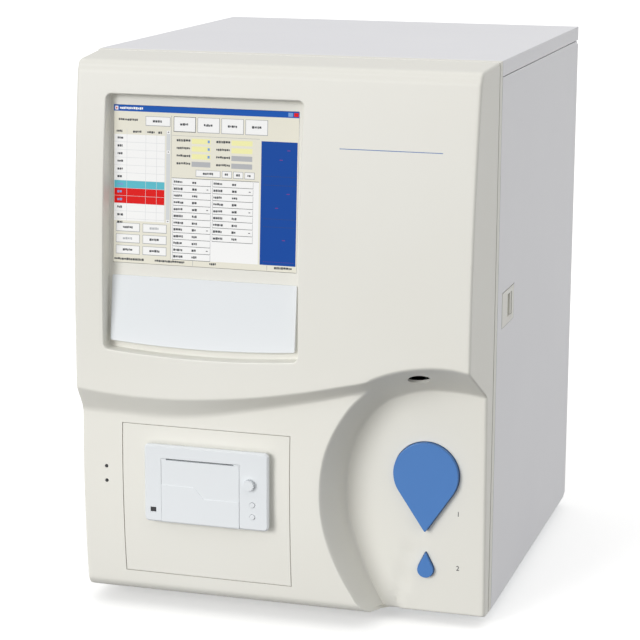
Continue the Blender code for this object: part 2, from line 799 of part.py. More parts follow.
def bay_space(grow):
    outline = rounded(
        (BAY_LEFT - grow, BAY_BOTTOM - grow),
        (BAY_RIGHT + grow, BAY_TOP + grow),
        BAY_RADIUS + grow,
        BAY_SAG,
        8,
    )
    front = [(x, -SHELL_DEPTH - OVERRUN, z) for x, z in outline]
    back = [(x, grow - bay_depth(z), z) for x, z in outline]
    return loft([front, back])


def through(outline, front, back):
    """A cutter along Y between two depths in front of the seam."""
    return prism(outline, 1, -front, -back)


def rectangle(left, bottom, width, height, grow=0.0):
    return [
        (left - grow, bottom - grow),
        (left + width + grow, bottom - grow),
        (left + width + grow, bottom + height + grow),
        (left - grow, bottom + height + grow),
    ]


def front_shell(plastic):
    hollow = make(
        "front_shell_hollow",
        plastic,
        shell_block(SHELL_WALL, OVERRUN),
        cut=[under_ledge(SHELL_WALL), well_space(SHELL_WALL), bay_space(SHELL_WALL)],
    )
    hollow.hide_render = True
    hollow.display_type = "WIRE"
    screen = rectangle(SCREEN_LEFT, SCREEN_BOTTOM, SCREEN_WIDTH, SCREEN_HEIGHT, GAP)
    panel = rectangle(PANEL_LEFT, PANEL_BOTTOM, PANEL_WIDTH, PANEL_HEIGHT, PANEL_GAP)
    start = drop(START_RADIUS, START_TIP, PANEL_GAP, (BUTTON_X, START_Z), False)
    dilute = drop(DILUTE_RADIUS, DILUTE_TIP, PANEL_GAP, (BUTTON_X, DILUTE_Z), True)
    lights = [
        rod((LIGHT_X, -SHELL_DEPTH, z), (LIGHT_X, -LIGHT_BOARD_DEPTH, z), LIGHT_RADIUS + GAP, SMALL_SIDES)
        for z in (LIGHT_UPPER_Z, LIGHT_LOWER_Z)
    ]
    mouth_top = GUIDE_BOTTOM + OVERRUN
    mouth_bottom = mouth_top - FRAME_WIDTH
    mouth = rod((PROBE_X, -PROBE_DEPTH, mouth_bottom), (PROBE_X, -PROBE_DEPTH, mouth_top), MOUTH_RADIUS)
    return make(
        "front_shell",
        plastic,
        shell_block(0, SHELL_REAR),
        cut=[
            under_ledge(0),
            well_space(0),
            bay_space(0),
            hollow,
            through(screen, SHELL_DEPTH, BAY_DEPTH - OVERRUN),
            through(panel, SHELL_DEPTH + OVERRUN, LOWER_DEPTH - OVERRUN),
            through(start, SHELL_DEPTH / 2, SKIRT_THICKNESS + OVERRUN),
            through(dilute, SHELL_DEPTH / 2, SKIRT_THICKNESS + OVERRUN),
            *lights,
            mouth,
        ],
    )


def front_rim(plastic):
    front = -GAP - RIM_DEPTH
    rings = []
    for y in (front, -GAP):
        half = HALF_WIDTH + SHELL_DRAFT_SHARE * y
        top = CASE_HEIGHT + CROWN_FALL * y / CROWN_DEPTH
        rings.append(spread([(-half, 0), (half, 0), (half, top), (-half, top)], 1, y))
    opening = rectangle(
        RIM_WIDTH - HALF_WIDTH, RIM_WIDTH, CASE_WIDTH - 2 * RIM_WIDTH, CASE_HEIGHT - 2 * RIM_WIDTH
    )
    return make("front_rim", plastic, loft(rings), cut=[prism(opening, 1, -OVERRUN, OVERRUN)])


# Screen


def leaning_slab(outline, front_offset, back_offset, front_depth=bay_depth, back_depth=bay_depth):
    front = [(x, front_offset - front_depth(z), z) for x, z in outline]
    back = [(x, back_offset - back_depth(z), z) for x, z in outline]
    return loft([front, back])


def touch_glass(glass):
    outline = rectangle(SCREEN_LEFT, SCREEN_BOTTOM, SCREEN_WIDTH, SCREEN_HEIGHT)
    return make("touch_glass", glass, leaning_slab(outline, GAP, GAP + GLASS_THICKNESS))


def display_module(metal):
    outline = rectangle(SCREEN_LEFT, SCREEN_BOTTOM, SCREEN_WIDTH, SCREEN_HEIGHT, MODULE_MARGIN)
    front = SHELL_WALL + GAP
    return make("display_module", metal, leaning_slab(outline, front, front + MODULE_THICKNESS))


def label_depth(height):
    return LABEL_TOP_DEPTH + LABEL_LEAN_SHARE * (LABEL_TOP - height)


def label_plate(plastic):
    outline = rounded((LABEL_LEFT, LABEL_BOTTOM), (LABEL_RIGHT, LABEL_TOP), LABEL_RADIUS, LABEL_SAG, 8)
    return make("label_plate", plastic, leaning_slab(outline, 0, -GAP, front_depth=label_depth))


# Printer


def printer_panel(plastic):
    heights = [PANEL_BOTTOM + PANEL_HEIGHT * step / LOWER_STEPS for step in range(LOWER_STEPS + 1)]
    front = [(-lower_depth(z), z) for z in heights]
    back = [(PANEL_THICKNESS - lower_depth(z), z) for z in reversed(heights)]
    neck = rectangle(PRINTER_LEFT, PRINTER_BOTTOM, PRINTER_WIDTH, PRINTER_HEIGHT, PANEL_GAP - NECK_MARGIN)
    return make(
        "printer_panel",
        plastic,
        prism(front + back, 0, PANEL_LEFT, PANEL_LEFT + PANEL_WIDTH),
        cut=[through(neck, SHELL_DEPTH, LOWER_DEPTH - OVERRUN)],
    )


def printer_case(low, high):
    """The printer's bezel block, its front edge drawn in for a soft edge."""
    rings = []
    for y, edge in ((low[1], PRINTER_EDGE), (low[1] + PRINTER_EDGE, 0), (high[1], 0)):
        outline = rounded(
            (low[0] + edge, low[2] + edge), (high[0] - edge, high[2] - edge), PRINTER_RADIUS - edge
        )
        rings.append(spread(outline, 1, y))
    return loft(rings)


def printer_body(plastic):
    bezel = printer_case(
        (PRINTER_LEFT, -PRINTER_FACE, PRINTER_BOTTOM),
        (PRINTER_RIGHT, PRINTER_BEZEL - PRINTER_FACE, PRINTER_TOP),
    )
    neck = box(
        (PRINTER_LEFT + NECK_MARGIN, DOOR_BACK, PRINTER_BOTTOM + NECK_MARGIN),
        (PRINTER_RIGHT - NECK_MARGIN, -NECK_REAR, PRINTER_TOP - NECK_MARGIN),
    )
    doorway = box(
        (DOOR_LEFT - GAP, -PRINTER_FACE - OVERRUN, PRINTER_BOTTOM - OVERRUN),
        (DOOR_RIGHT + GAP, DOOR_BACK + GAP, DOOR_TOP + GAP),
    )
    groove = box(
        (DOOR_LEFT - GAP, -PRINTER_FACE, PRINTER_BOTTOM - OVERRUN),
        (DOOR_RIGHT + GAP, DOOR_BACK + HINGE_GROOVE, PRINTER_BOTTOM + HINGE_GROOVE_HEIGHT),
    )
    roll_bay = box(
        (ROLL_BAY_LEFT, -PRINTER_FACE, ROLL_BAY_FLOOR),
        (ROLL_BAY_RIGHT, -ROLL_BAY_REAR, ROLL_BAY_TOP),
    )
    lip = DOOR_BACK + TONGUE_THICKNESS + 4 * GAP
    tongue_bay = box(
        (ROLL_BAY_RIGHT - GAP, DOOR_BACK, KNOB_Z - TONGUE_WIDTH),
        (KNOB_X + TONGUE_WIDTH, lip, KNOB_Z + TONGUE_LENGTH + PANEL_GAP),
    )
    knob_bore = rod(
        (KNOB_X, -PRINTER_FACE - OVERRUN, KNOB_Z),
        (KNOB_X, DOOR_BACK + TONGUE_THICKNESS, KNOB_Z),
        KNOB_STEM + GAP,
        SMALL_SIDES,
    )
    keys = [
        rod((KEY_X, -PRINTER_FACE - OVERRUN, z), (KEY_X, KEY_BORE_LENGTH - PRINTER_FACE, z), KEY_RADIUS + GAP)
        for z in (KEY_UPPER_Z, KEY_LOWER_Z)
    ]
    lamp = rectangle(
        LAMP_X - LAMP_WIDTH / 2, LAMP_Z - LAMP_HEIGHT / 2, LAMP_WIDTH, LAMP_HEIGHT, GAP
    )
    lamp_bay = through(lamp, PRINTER_FACE + OVERRUN, PRINTER_FACE - LAMP_DEPTH)
    return make(
        "printer_body",
        plastic,
        bezel,
        add=[neck],
        cut=[doorway, groove, roll_bay, tongue_bay, knob_bore, *keys, lamp_bay],
    )


def printer_door(plastic):
    slab = box((DOOR_LEFT, -PRINTER_FACE, PRINTER_BOTTOM), (DOOR_RIGHT, DOOR_BACK, DOOR_TOP))
    step = [
        (DOOR_LEFT, PRINTER_BOTTOM),
        (DOOR_RIGHT, PRINTER_BOTTOM),
        (DOOR_RIGHT, DOOR_STEP_LOW),
        (DOOR_LEFT + DOOR_STEP_END, DOOR_STEP_LOW),
        (DOOR_LEFT + DOOR_STEP_START, DOOR_STEP_HIGH),
        (DOOR_LEFT, DOOR_STEP_HIGH),
    ]
    relief = prism(step, 1, -PRINTER_FACE - DOOR_RELIEF, DOOR_BACK - DOOR_THICKNESS / 2)
    slot = box(
        (SLOT_LEFT, -PRINTER_FACE - OVERRUN, DOOR_TOP - SLOT_HEIGHT),
        (SLOT_LEFT + SLOT_WIDTH, DOOR_BACK + OVERRUN, DOOR_TOP + OVERRUN),
    )
    tip = KNOB_X - TONGUE_LENGTH
    lip = DOOR_BACK + TONGUE_THICKNESS + 3 * GAP
    keeper = box(
        (tip - GAP - KEEPER_WALL, DOOR_BACK - DOOR_THICKNESS / 2, KNOB_Z - KEEPER_HALF),
        (tip + KEEPER_REACH, lip + KEEPER_WALL, KNOB_Z + KEEPER_HALF),
    )
    catch = box(
        (tip - GAP, DOOR_BACK + GAP, KNOB_Z - KEEPER_HALF - GAP),
        (tip + KEEPER_REACH + GAP, lip, KNOB_Z + KEEPER_HALF + GAP),
    )
    middle = SLOT_LEFT + SLOT_WIDTH / 2
    ears = []
    bores = []
    for side in (-1, 1):
        inner = middle + side * (PLATEN_WIDTH / 2 + GAP)
        outer = inner + side * EAR_WIDTH
        ears.append(
            box(
                (min(inner, outer), DOOR_BACK - DOOR_THICKNESS / 2, PLATEN_Z - EAR_HEIGHT / 2),
                (max(inner, outer), DOOR_BACK + EAR_REACH, PLATEN_Z + EAR_HEIGHT / 2),
            )
        )
        bores.append(
            rod(
                (inner - side * OVERRUN / 2, PLATEN_Y, PLATEN_Z),
                (outer + side * OVERRUN / 2, PLATEN_Y, PLATEN_Z),
                PLATEN_SHAFT + GAP,
                SMALL_SIDES,
            )
        )
    parts = [relief, keeper, *ears]
    return make("printer_door", plastic, slab, add=parts, cut=[slot, catch, *bores], pivot=DOOR_HINGE)


def platen_roller(rubber):
    middle = SLOT_LEFT + SLOT_WIDTH / 2
    pivot = (middle, PLATEN_Y, PLATEN_Z)
    half = PLATEN_WIDTH / 2
    shaft = half + GAP + EAR_WIDTH
    roller = rod((middle - half, PLATEN_Y, PLATEN_Z), (middle + half, PLATEN_Y, PLATEN_Z), PLATEN_RADIUS)
    spindle = rod(
        (middle - shaft, PLATEN_Y, PLATEN_Z), (middle + shaft, PLATEN_Y, PLATEN_Z), PLATEN_SHAFT, SMALL_SIDES
    )
    return make("platen_roller", rubber, roller, add=[spindle], pivot=pivot)


def paper_roll(paper):
    middle = (ROLL_BAY_LEFT + ROLL_BAY_RIGHT) / 2
    y = -ROLL_BAY_REAR - 2 * GAP - ROLL_RADIUS
    z = ROLL_BAY_FLOOR + GAP + ROLL_RADIUS
    left = middle - ROLL_WIDTH / 2
    right = middle + ROLL_WIDTH / 2
    core = rod((left - OVERRUN, y, z), (right + OVERRUN, y, z), ROLL_CORE, SMALL_SIDES)
    roll = rod((left, y, z), (right, y, z), ROLL_RADIUS, FINE_SIDES)
    return make("paper_roll", paper, roll, cut=[core], pivot=(middle, y, z))


def printer_knob(plastic):
    teeth = []
    for n in range(2 * KNOB_TEETH):
        radius = KNOB_RADIUS * (1 if n % 2 else KNOB_TOOTH_SHARE)
        angle = math.pi * n / KNOB_TEETH
        teeth.append((KNOB_X + radius * math.cos(angle), KNOB_Z + radius * math.sin(angle)))
    wheel = prism(teeth, 1, -PRINTER_FACE - KNOB_PROUD, -PRINTER_FACE - GAP)
    tongue_front = DOOR_BACK + 2 * GAP
    stem = rod(
        (KNOB_X, -PRINTER_FACE - KNOB_PROUD / 2, KNOB_Z),
        (KNOB_X, tongue_front + TONGUE_THICKNESS / 2, KNOB_Z),
        KNOB_STEM,
        SMALL_SIDES,
    )
    tongue = box(
        (KNOB_X - TONGUE_WIDTH / 2, tongue_front, KNOB_Z - TONGUE_WIDTH / 2),
        (KNOB_X + TONGUE_WIDTH / 2, tongue_front + TONGUE_THICKNESS, KNOB_Z + TONGUE_LENGTH),
    )
    return make("printer_knob", plastic, wheel, add=[stem, tongue], pivot=(KNOB_X, -PRINTER_FACE, KNOB_Z))


def printer_key(name, plastic, z):
    front = -PRINTER_FACE - KEY_PROUD
    shaft = rod((KEY_X, front, z), (KEY_X, front + KEY_LENGTH, z), KEY_RADIUS)
    return make(name, plastic, shaft, pivot=(KEY_X, front, z))


def printer_lamp(plastic):
    outline = rectangle(LAMP_X - LAMP_WIDTH / 2, LAMP_Z - LAMP_HEIGHT / 2, LAMP_WIDTH, LAMP_HEIGHT)
    return make("printer_lamp", plastic, through(outline, PRINTER_FACE, PRINTER_FACE - LAMP_DEPTH + GAP))


# Lights and push buttons


def status_light_board(board):
    low = (LIGHT_X - LIGHT_BOARD_WIDTH / 2, -LIGHT_BOARD_DEPTH, LIGHT_LOWER_Z - LIGHT_BOARD_MARGIN)
    high = (
        LIGHT_X + LIGHT_BOARD_WIDTH / 2,
        BOARD_THICKNESS - LIGHT_BOARD_DEPTH,
        LIGHT_UPPER_Z + LIGHT_BOARD_MARGIN,
    )
    lamps = [
        rod(
            (LIGHT_X, -LIGHT_BOARD_DEPTH - LIGHT_REACH, z),
            (LIGHT_X, BOARD_THICKNESS / 2 - LIGHT_BOARD_DEPTH, z),
            LIGHT_RADIUS,
            SMALL_SIDES,
        )
        for z in (LIGHT_UPPER_Z, LIGHT_LOWER_Z)
    ]
    posts = []
    for z in (low[2] + POST_RADIUS, high[2] - POST_RADIUS):
        seat = SHELL_WALL + GAP - lower_depth(z)
        end = low[1] + BOARD_THICKNESS / 2
        posts.append(rod((LIGHT_X, seat, z), (LIGHT_X, end, z), POST_RADIUS, SMALL_SIDES))
    return make("status_light_board", board, box(low, high), add=[*lamps, *posts])


def push_button(name, plastic, radius, tip, z, face, upwards):
    centre = (BUTTON_X, z)
    cap = loft(
        [
            spread(drop(radius, tip, -BUTTON_CROWN, centre, upwards), 1, -face),
            spread(drop(radius, tip, 0, centre, upwards), 1, BUTTON_CROWN - face),
            spread(drop(radius, tip, 0, centre, upwards), 1, SKIRT_THICKNESS / 2 - SKIRT_FRONT),
        ]
    )
    skirt = prism(
        drop(radius, tip, BUTTON_SKIRT, centre, upwards), 1, -SKIRT_FRONT, SKIRT_THICKNESS - SKIRT_FRONT
    )
    stem = rod((BUTTON_X, -SKIRT_FRONT, z), (BUTTON_X, -STEM_END, z), STEM_RADIUS, SMALL_SIDES)
    return make(name, plastic, cap, add=[skirt, stem], pivot=(BUTTON_X, -face, z))


def button_board(board):
    low = (
        BUTTON_X - SWITCH_BOARD_WIDTH / 2,
        -SWITCH_BOARD_DEPTH,
        DILUTE_Z - SWITCH_BOARD_MARGIN,
    )
    high = (
        BUTTON_X + SWITCH_BOARD_WIDTH / 2,
        BOARD_THICKNESS - SWITCH_BOARD_DEPTH,
        START_Z + SWITCH_BOARD_MARGIN,
    )
    half = SWITCH_SIZE / 2
    switches = [
        box(
            (BUTTON_X - half, -SWITCH_FRONT, z - half),
            (BUTTON_X + half, -SWITCH_BOARD_DEPTH + GAP, z + half),
        )
        for z in (START_Z, DILUTE_Z)
    ]
    bores = [
        rod(
            (BUTTON_X, -SWITCH_FRONT - OVERRUN, z),
            (BUTTON_X, -SWITCH_BORE_END, z),
            STEM_RADIUS + GAP,
            SMALL_SIDES,
        )
        for z in (START_Z, DILUTE_Z)
    ]
    posts = []
    for x in (low[0] + 2 * POST_RADIUS, high[0] - 2 * POST_RADIUS):
        for z in (low[2] + 2 * POST_RADIUS, high[2] - 2 * POST_RADIUS):
            post = rod((x, -SWITCH_BOARD_DEPTH + GAP, z), (x, BULKHEAD_Y - GAP, z), POST_RADIUS, SMALL_SIDES)
            posts.append(post)
    return make("button_board", board, box(low, high), add=[*switches, *posts], cut=bores)


# Sampling mechanism


def probe_guide(plastic):
    lower = (PROBE_X, -PROBE_DEPTH, GUIDE_BOTTOM)
    upper = (PROBE_X, -PROBE_DEPTH, FRAME_BOTTOM - GAP)
    bore = rod(
        (PROBE_X, -PROBE_DEPTH, GUIDE_BOTTOM - OVERRUN),
        (PROBE_X, -PROBE_DEPTH, FRAME_BOTTOM + OVERRUN),
        GUIDE_BORE,
        ROUND_SIDES,
    )
    return make("probe_guide", plastic, rod(lower, upper, MOUTH_RADIUS - GAP), cut=[bore])


def sample_probe(steel):
    top = CARRIAGE_Z + CARRIAGE_HEIGHT + GAP
    needle = rod(
        (PROBE_X, -PROBE_DEPTH, PROBE_TIP_Z), (PROBE_X, -PROBE_DEPTH, top + GAP), PROBE_RADIUS, SMALL_SIDES
    )
    ferrule = rod(
        (PROBE_X, -PROBE_DEPTH, top),
        (PROBE_X, -PROBE_DEPTH, top + FERRULE_HEIGHT),
        PROBE_FERRULE,
        SMALL_SIDES,
    )
    return make("sample_probe", steel, needle, add=[ferrule], pivot=(PROBE_X, -PROBE_DEPTH, PROBE_TIP_Z))


def upright(x, y, bottom, top, radius, sides=SMALL_SIDES):
    return rod((x, y, bottom), (x, y, top), radius, sides)


def probe_carriage(plastic):
    low = (PROBE_X - CARRIAGE_WIDTH / 2, -CARRIAGE_FRONT, CARRIAGE_Z)
    high = (PROBE_X + CARRIAGE_WIDTH / 2, -CARRIAGE_REAR, CARRIAGE_Z + CARRIAGE_HEIGHT)
    bottom = CARRIAGE_Z - OVERRUN
    top = CARRIAGE_Z + CARRIAGE_HEIGHT + OVERRUN
    bores = [upright(PROBE_X, -PROBE_DEPTH, bottom, top, PROBE_RADIUS + GAP)]
    bores.append(upright(PROBE_X, -RAIL_DEPTH, bottom, top, SCREW_RADIUS + SLIDE_CLEARANCE))
    for side in (-1, 1):
        bores.append(
            upright(PROBE_X + side * RAIL_SPREAD, -RAIL_DEPTH, bottom, top, RAIL_RADIUS + SLIDE_CLEARANCE)
        )
    middle = (PROBE_X, -RAIL_DEPTH, CARRIAGE_Z)
    return make("probe_carriage", plastic, box(low, high), cut=bores, pivot=middle)


def probe_frame(metal):
    left = PROBE_X - FRAME_WIDTH / 2
    right = PROBE_X + FRAME_WIDTH / 2
    rear = BULKHEAD_Y - GAP
    plate = box((left, rear - FRAME_PLATE, FRAME_BOTTOM), (right, rear, FRAME_TOP + FRAME_ARM))
    half = CARRIAGE_WIDTH / 2
    lower_arm = box(
        (PROBE_X - half, -LOWER_ARM_REACH, FRAME_BOTTOM), (PROBE_X + half, rear, FRAME_BOTTOM + FRAME_ARM)
    )
    upper_arm = box(
        (PROBE_X - half, -UPPER_ARM_REACH, FRAME_TOP),
        (PROBE_X + half, rear, FRAME_TOP + FRAME_ARM),
    )
    needle_hole = upright(
        PROBE_X, -PROBE_DEPTH, FRAME_BOTTOM - OVERRUN, FRAME_BOTTOM + OVERRUN, RINSE_BORE + GAP
    )
    screw_hole = upright(PROBE_X, -RAIL_DEPTH, FRAME_TOP - OVERRUN, FRAME_TOP + OVERRUN, SCREW_RADIUS + GAP)
    return make("probe_frame", metal, plate, add=[lower_arm, upper_arm], cut=[needle_hole, screw_hole])


def guide_rod(name, steel, side):
    return make(
        name,
        steel,
        upright(
            PROBE_X + side * RAIL_SPREAD,
            -RAIL_DEPTH,
            FRAME_BOTTOM + FRAME_ARM + GAP,
            FRAME_TOP - GAP,
            RAIL_RADIUS,
        ),
    )


def lead_screw(steel):
    bottom = FRAME_BOTTOM + FRAME_ARM + GAP
    return make(
        "lead_screw",
        steel,
        upright(PROBE_X, -RAIL_DEPTH, bottom, FRAME_TOP + FRAME_ARM, SCREW_RADIUS),
        pivot=(PROBE_X, -RAIL_DEPTH, bottom),
    )


def probe_motor(metal):
    half = MOTOR_SIDE / 2
    cut = half - MOTOR_CHAMFER
    outline = [
        (cut, -half), (half, -cut), (half, cut), (cut, half),
        (-cut, half), (-half, cut), (-half, -cut), (-cut, -half),
    ]
    outline = [(PROBE_X + x, y - RAIL_DEPTH) for x, y in outline]
    bottom = FRAME_TOP + FRAME_ARM + GAP
    return make("probe_motor", metal, prism(outline, 2, bottom, bottom + MOTOR_HEIGHT))


def rinse_block(plastic):
    bottom = FRAME_BOTTOM + FRAME_ARM + GAP
    block = upright(PROBE_X, -PROBE_DEPTH, bottom, bottom + RINSE_HEIGHT, RINSE_RADIUS, ROUND_SIDES)
    height = bottom + RINSE_HEIGHT / 2
    nipple = rod(
        (PROBE_X - RINSE_NIPPLE_LENGTH, -PROBE_DEPTH, height),
        (PROBE_X + RINSE_NIPPLE_LENGTH, -PROBE_DEPTH, height),
        RINSE_NIPPLE,
        SMALL_SIDES,
    )
    bore = upright(PROBE_X, -PROBE_DEPTH, bottom - OVERRUN, bottom + RINSE_HEIGHT + OVERRUN, RINSE_BORE)
    return make("rinse_block", plastic, block, add=[nipple], cut=[bore])


# Metal case


def top_cover(metal):
    outer = box((-HALF_WIDTH, GAP, CASE_HEIGHT - TOP_FLANGE), (HALF_WIDTH, CASE_DEPTH, CASE_HEIGHT))
    inner = box(
        (SHEET - HALF_WIDTH, -OVERRUN, CASE_HEIGHT - TOP_FLANGE - OVERRUN),
        (HALF_WIDTH - SHEET, CASE_DEPTH + OVERRUN, CASE_HEIGHT - SHEET),
    )
    return make("top_cover", metal, outer, cut=[inner])


def left_panel(metal):
    return make("left_panel", metal, box((-HALF_WIDTH, GAP, 0), (SHEET - HALF_WIDTH, CASE_DEPTH, SIDE_TOP)))


def side_door(metal):
    sheet = box((HALF_WIDTH - SHEET, GAP, 0), (HALF_WIDTH, CASE_DEPTH, SIDE_TOP))
    flange = box(
        (HALF_WIDTH - SHEET - DOOR_FLANGE, GAP, DOOR_FLANGE_MARGIN),
        (HALF_WIDTH - SHEET / 2, GAP + SHEET, SIDE_TOP - DOOR_FLANGE_MARGIN),
    )
    opening = box(
        (HALF_WIDTH - OVERRUN, LATCH_Y - GAP, LATCH_Z - LATCH_HEIGHT / 2 - GAP),
        (HALF_WIDTH + OVERRUN, LATCH_Y + LATCH_LENGTH + GAP, LATCH_Z + LATCH_HEIGHT / 2 + GAP),
    )
    tabs = []
    eyes = []
    notches = [
        box(
            (HALF_WIDTH - OVERRUN, CASE_DEPTH - DOOR_NOTCH, low),
            (HALF_WIDTH + OVERRUN, CASE_DEPTH + OVERRUN, high),
        )
        for low, high in ((-OVERRUN, TAB_RISE), (SIDE_TOP - TAB_RISE, SIDE_TOP + OVERRUN))
    ]
    for bottom in (TAB_RISE, SIDE_TOP - TAB_RISE - SHEET):
        top = bottom + SHEET
        tabs.append(upright(PIVOT_X, PIVOT_Y, bottom, top, PIVOT_EYE))
        tabs.append(
            box(
                (PIVOT_X, PIVOT_Y - PIVOT_TAB_HALF, bottom),
                (HALF_WIDTH - SHEET / 2, PIVOT_Y + PIVOT_TAB_HALF, top),
            )
        )
        eyes.append(upright(PIVOT_X, PIVOT_Y, bottom - SHEET, top + SHEET, PIVOT_RADIUS + GAP))
    return make(
        "side_door",
        metal,
        sheet,
        add=[flange, *tabs],
        cut=[opening, *notches, *eyes],
        pivot=(PIVOT_X, PIVOT_Y, 0),
    )


def hinge_bracket(name, metal, arm_bottom, plate_bottom, pin_start, pin_end):
    left = PIVOT_X - BRACKET_GAP_X
    arm_top = arm_bottom + BRACKET_ARM
    plate = box(
        (left, REAR_SEAT, plate_bottom + GAP),
        (left + BRACKET_WIDTH, REAR_SEAT + SHEET, plate_bottom + BRACKET_HEIGHT - GAP),
    )
    arm = box((left + GAP, REAR_SEAT + GAP, arm_bottom), (PIVOT_X, PIVOT_Y + PIVOT_RADIUS, arm_top))
    eye = upright(PIVOT_X, PIVOT_Y, arm_bottom + GAP / 2, arm_top - GAP / 2, PIVOT_EYE - GAP)
    pin = upright(PIVOT_X, PIVOT_Y, pin_start, pin_end, PIVOT_RADIUS)
    return make(name, metal, plate, add=[arm, eye, pin])


def hinge_brackets(metal):
    low_arm = TAB_RISE - GAP - BRACKET_ARM
    hinge_bracket("hinge_bracket_lower", metal, low_arm, low_arm, low_arm + GAP, low_arm + GAP + PIN_LENGTH)
    high_arm = SIDE_TOP - TAB_RISE + GAP
    high_end = high_arm + BRACKET_ARM - GAP
    hinge_bracket(
        "hinge_bracket_upper",
        metal,
        high_arm,
        high_arm + BRACKET_ARM - BRACKET_HEIGHT,
        high_end - PIN_LENGTH,
        high_end,
    )


def latch_housing(plastic):
    half = LATCH_HEIGHT / 2
    rear = LATCH_Y + LATCH_LENGTH
    margin = LATCH_BODY_MARGIN
    flange = box((HALF_WIDTH - SHEET, LATCH_Y, LATCH_Z - half), (LATCH_FACE, rear, LATCH_Z + half))
    body = box(
        (LATCH_INNER, LATCH_Y + margin, LATCH_Z - half + margin),
        (HALF_WIDTH - SHEET / 2, rear - margin, LATCH_Z + half - margin),
    )
    slot = box(
        (LATCH_FACE - LATCH_SLOT_DEPTH, LATCH_SLOT_Y, LATCH_Z - LATCH_SLOT_HEIGHT / 2),
        (LATCH_FACE + OVERRUN, LATCH_SLOT_Y + LATCH_SLOT_LENGTH, LATCH_Z + LATCH_SLOT_HEIGHT / 2),
    )
    bolt_x = LATCH_FACE - BOLT_INSET
    channel = box(
        (bolt_x - BOLT_THICKNESS - GAP, LATCH_Y - OVERRUN, LATCH_Z - BOLT_HEIGHT / 2 - GAP),
        (bolt_x + GAP, LATCH_SLOT_Y + GAP, LATCH_Z + BOLT_HEIGHT / 2 + GAP),
    )
    return make("latch_housing", plastic, flange, add=[body], cut=[slot, channel])


def latch_slider(metal):
    rear = LATCH_SLOT_Y + LATCH_SLOT_LENGTH - GAP
    front = rear - THUMB_LENGTH
    half = LATCH_SLOT_HEIGHT / 2 - GAP
    thumb = box(
        (LATCH_FACE - LATCH_SLOT_DEPTH + GAP, front, LATCH_Z - half),
        (LATCH_FACE - THUMB_INSET, rear, LATCH_Z + half),
    )
    bolt_x = LATCH_FACE - BOLT_INSET
    bolt = box(
        (bolt_x - BOLT_THICKNESS, BOLT_TIP, LATCH_Z - BOLT_HEIGHT / 2),
        (bolt_x, front + THUMB_LENGTH / 2, LATCH_Z + BOLT_HEIGHT / 2),
    )
    return make("latch_slider", metal, thumb, add=[bolt], pivot=(bolt_x, BOLT_TIP, LATCH_Z))


def base_tray(metal):
    outer = box((-INNER_HALF, BULKHEAD_BACK + GAP, 0), (INNER_HALF, REAR_INNER - GAP, TRAY_WALL))
    inner = box(
        (TRAY_THICKNESS - INNER_HALF, BULKHEAD_BACK + GAP + TRAY_THICKNESS, TRAY_THICKNESS),
        (INNER_HALF + OVERRUN, REAR_INNER - GAP - TRAY_THICKNESS, TRAY_WALL + OVERRUN),
    )
    return make("base_tray", metal, outer, cut=[inner])


def front_bulkhead(metal):
    sheet = box((-INNER_HALF, BULKHEAD_Y, GAP), (INNER_HALF, BULKHEAD_BACK, INNER_TOP))
    screen = rectangle(
        SCREEN_LEFT + MODULE_MARGIN,
        SCREEN_BOTTOM + MODULE_MARGIN,
        SCREEN_WIDTH - 2 * MODULE_MARGIN,
        SCREEN_HEIGHT - 2 * MODULE_MARGIN,
    )
    printer = rectangle(PRINTER_LEFT, PRINTER_BOTTOM, PRINTER_WIDTH, PRINTER_HEIGHT)
    tubes = rectangle(
        PROBE_X - FRAME_WIDTH / 2, START_Z + 2 * START_RADIUS, FRAME_WIDTH, START_RADIUS
    )
    striker = rectangle(
        LATCH_FACE - BOLT_INSET - BOLT_THICKNESS,
        LATCH_Z - BOLT_HEIGHT / 2,
        BOLT_THICKNESS,
        BOLT_HEIGHT,
        STRIKER_CLEARANCE,
    )
    cuts = [prism(outline, 1, -OVERRUN, OVERRUN) for outline in (screen, printer, tubes, striker)]
    return make("front_bulkhead", metal, sheet, cut=cuts)


def rear_panel(metal):
    sheet = box((-INNER_HALF, REAR_INNER, GAP), (INNER_HALF, REAR_OUTER, INNER_TOP))
    front = REAR_INNER - OVERRUN
    back = REAR_OUTER + OVERRUN
    inlet = rectangle(
        INLET_X - INLET_WIDTH / 2,
        INLET_Z - INLET_HEIGHT / 2,
        INLET_WIDTH,
        INLET_HEIGHT,
        PANEL_GAP - INLET_BODY_MARGIN,
    )
    data = rectangle(
        DATA_X - DATA_WIDTH / 2,
        DATA_Z - DATA_HEIGHT / 2,
        DATA_WIDTH,
        DATA_HEIGHT,
        PANEL_GAP - DATA_BODY_MARGIN,
    )
    cuts = [prism(outline, 1, front, back) for outline in (inlet, data)]
    cuts.append(rod((FAN_X, front, FAN_Z), (FAN_X, back, FAN_Z), FAN_BORE, FINE_SIDES))
    for x, z in port_places():
        cuts.append(rod((x, front, z), (x, back, z), PORT_STEM + PANEL_GAP, SMALL_SIDES))
    return make("rear_panel", metal, sheet, cut=cuts)


def centre_wall(metal):
    end_gap = 2 * GAP + TRAY_THICKNESS
    low = (WALL_X, BULKHEAD_BACK + end_gap, FLOOR_TOP)
    high = (WALL_X + SHEET, REAR_INNER - end_gap, INNER_TOP)
    return make("centre_wall", metal, box(low, high))


def foot(name, rubber, x, y):
    base = rod((x, y, -FOOT_HEIGHT), (x, y, -GAP), FOOT_RADIUS - FOOT_TAPER, ROUND_SIDES, FOOT_RADIUS)
    return make(name, rubber, base, pivot=(x, y, -FOOT_HEIGHT))


# Rear fittings


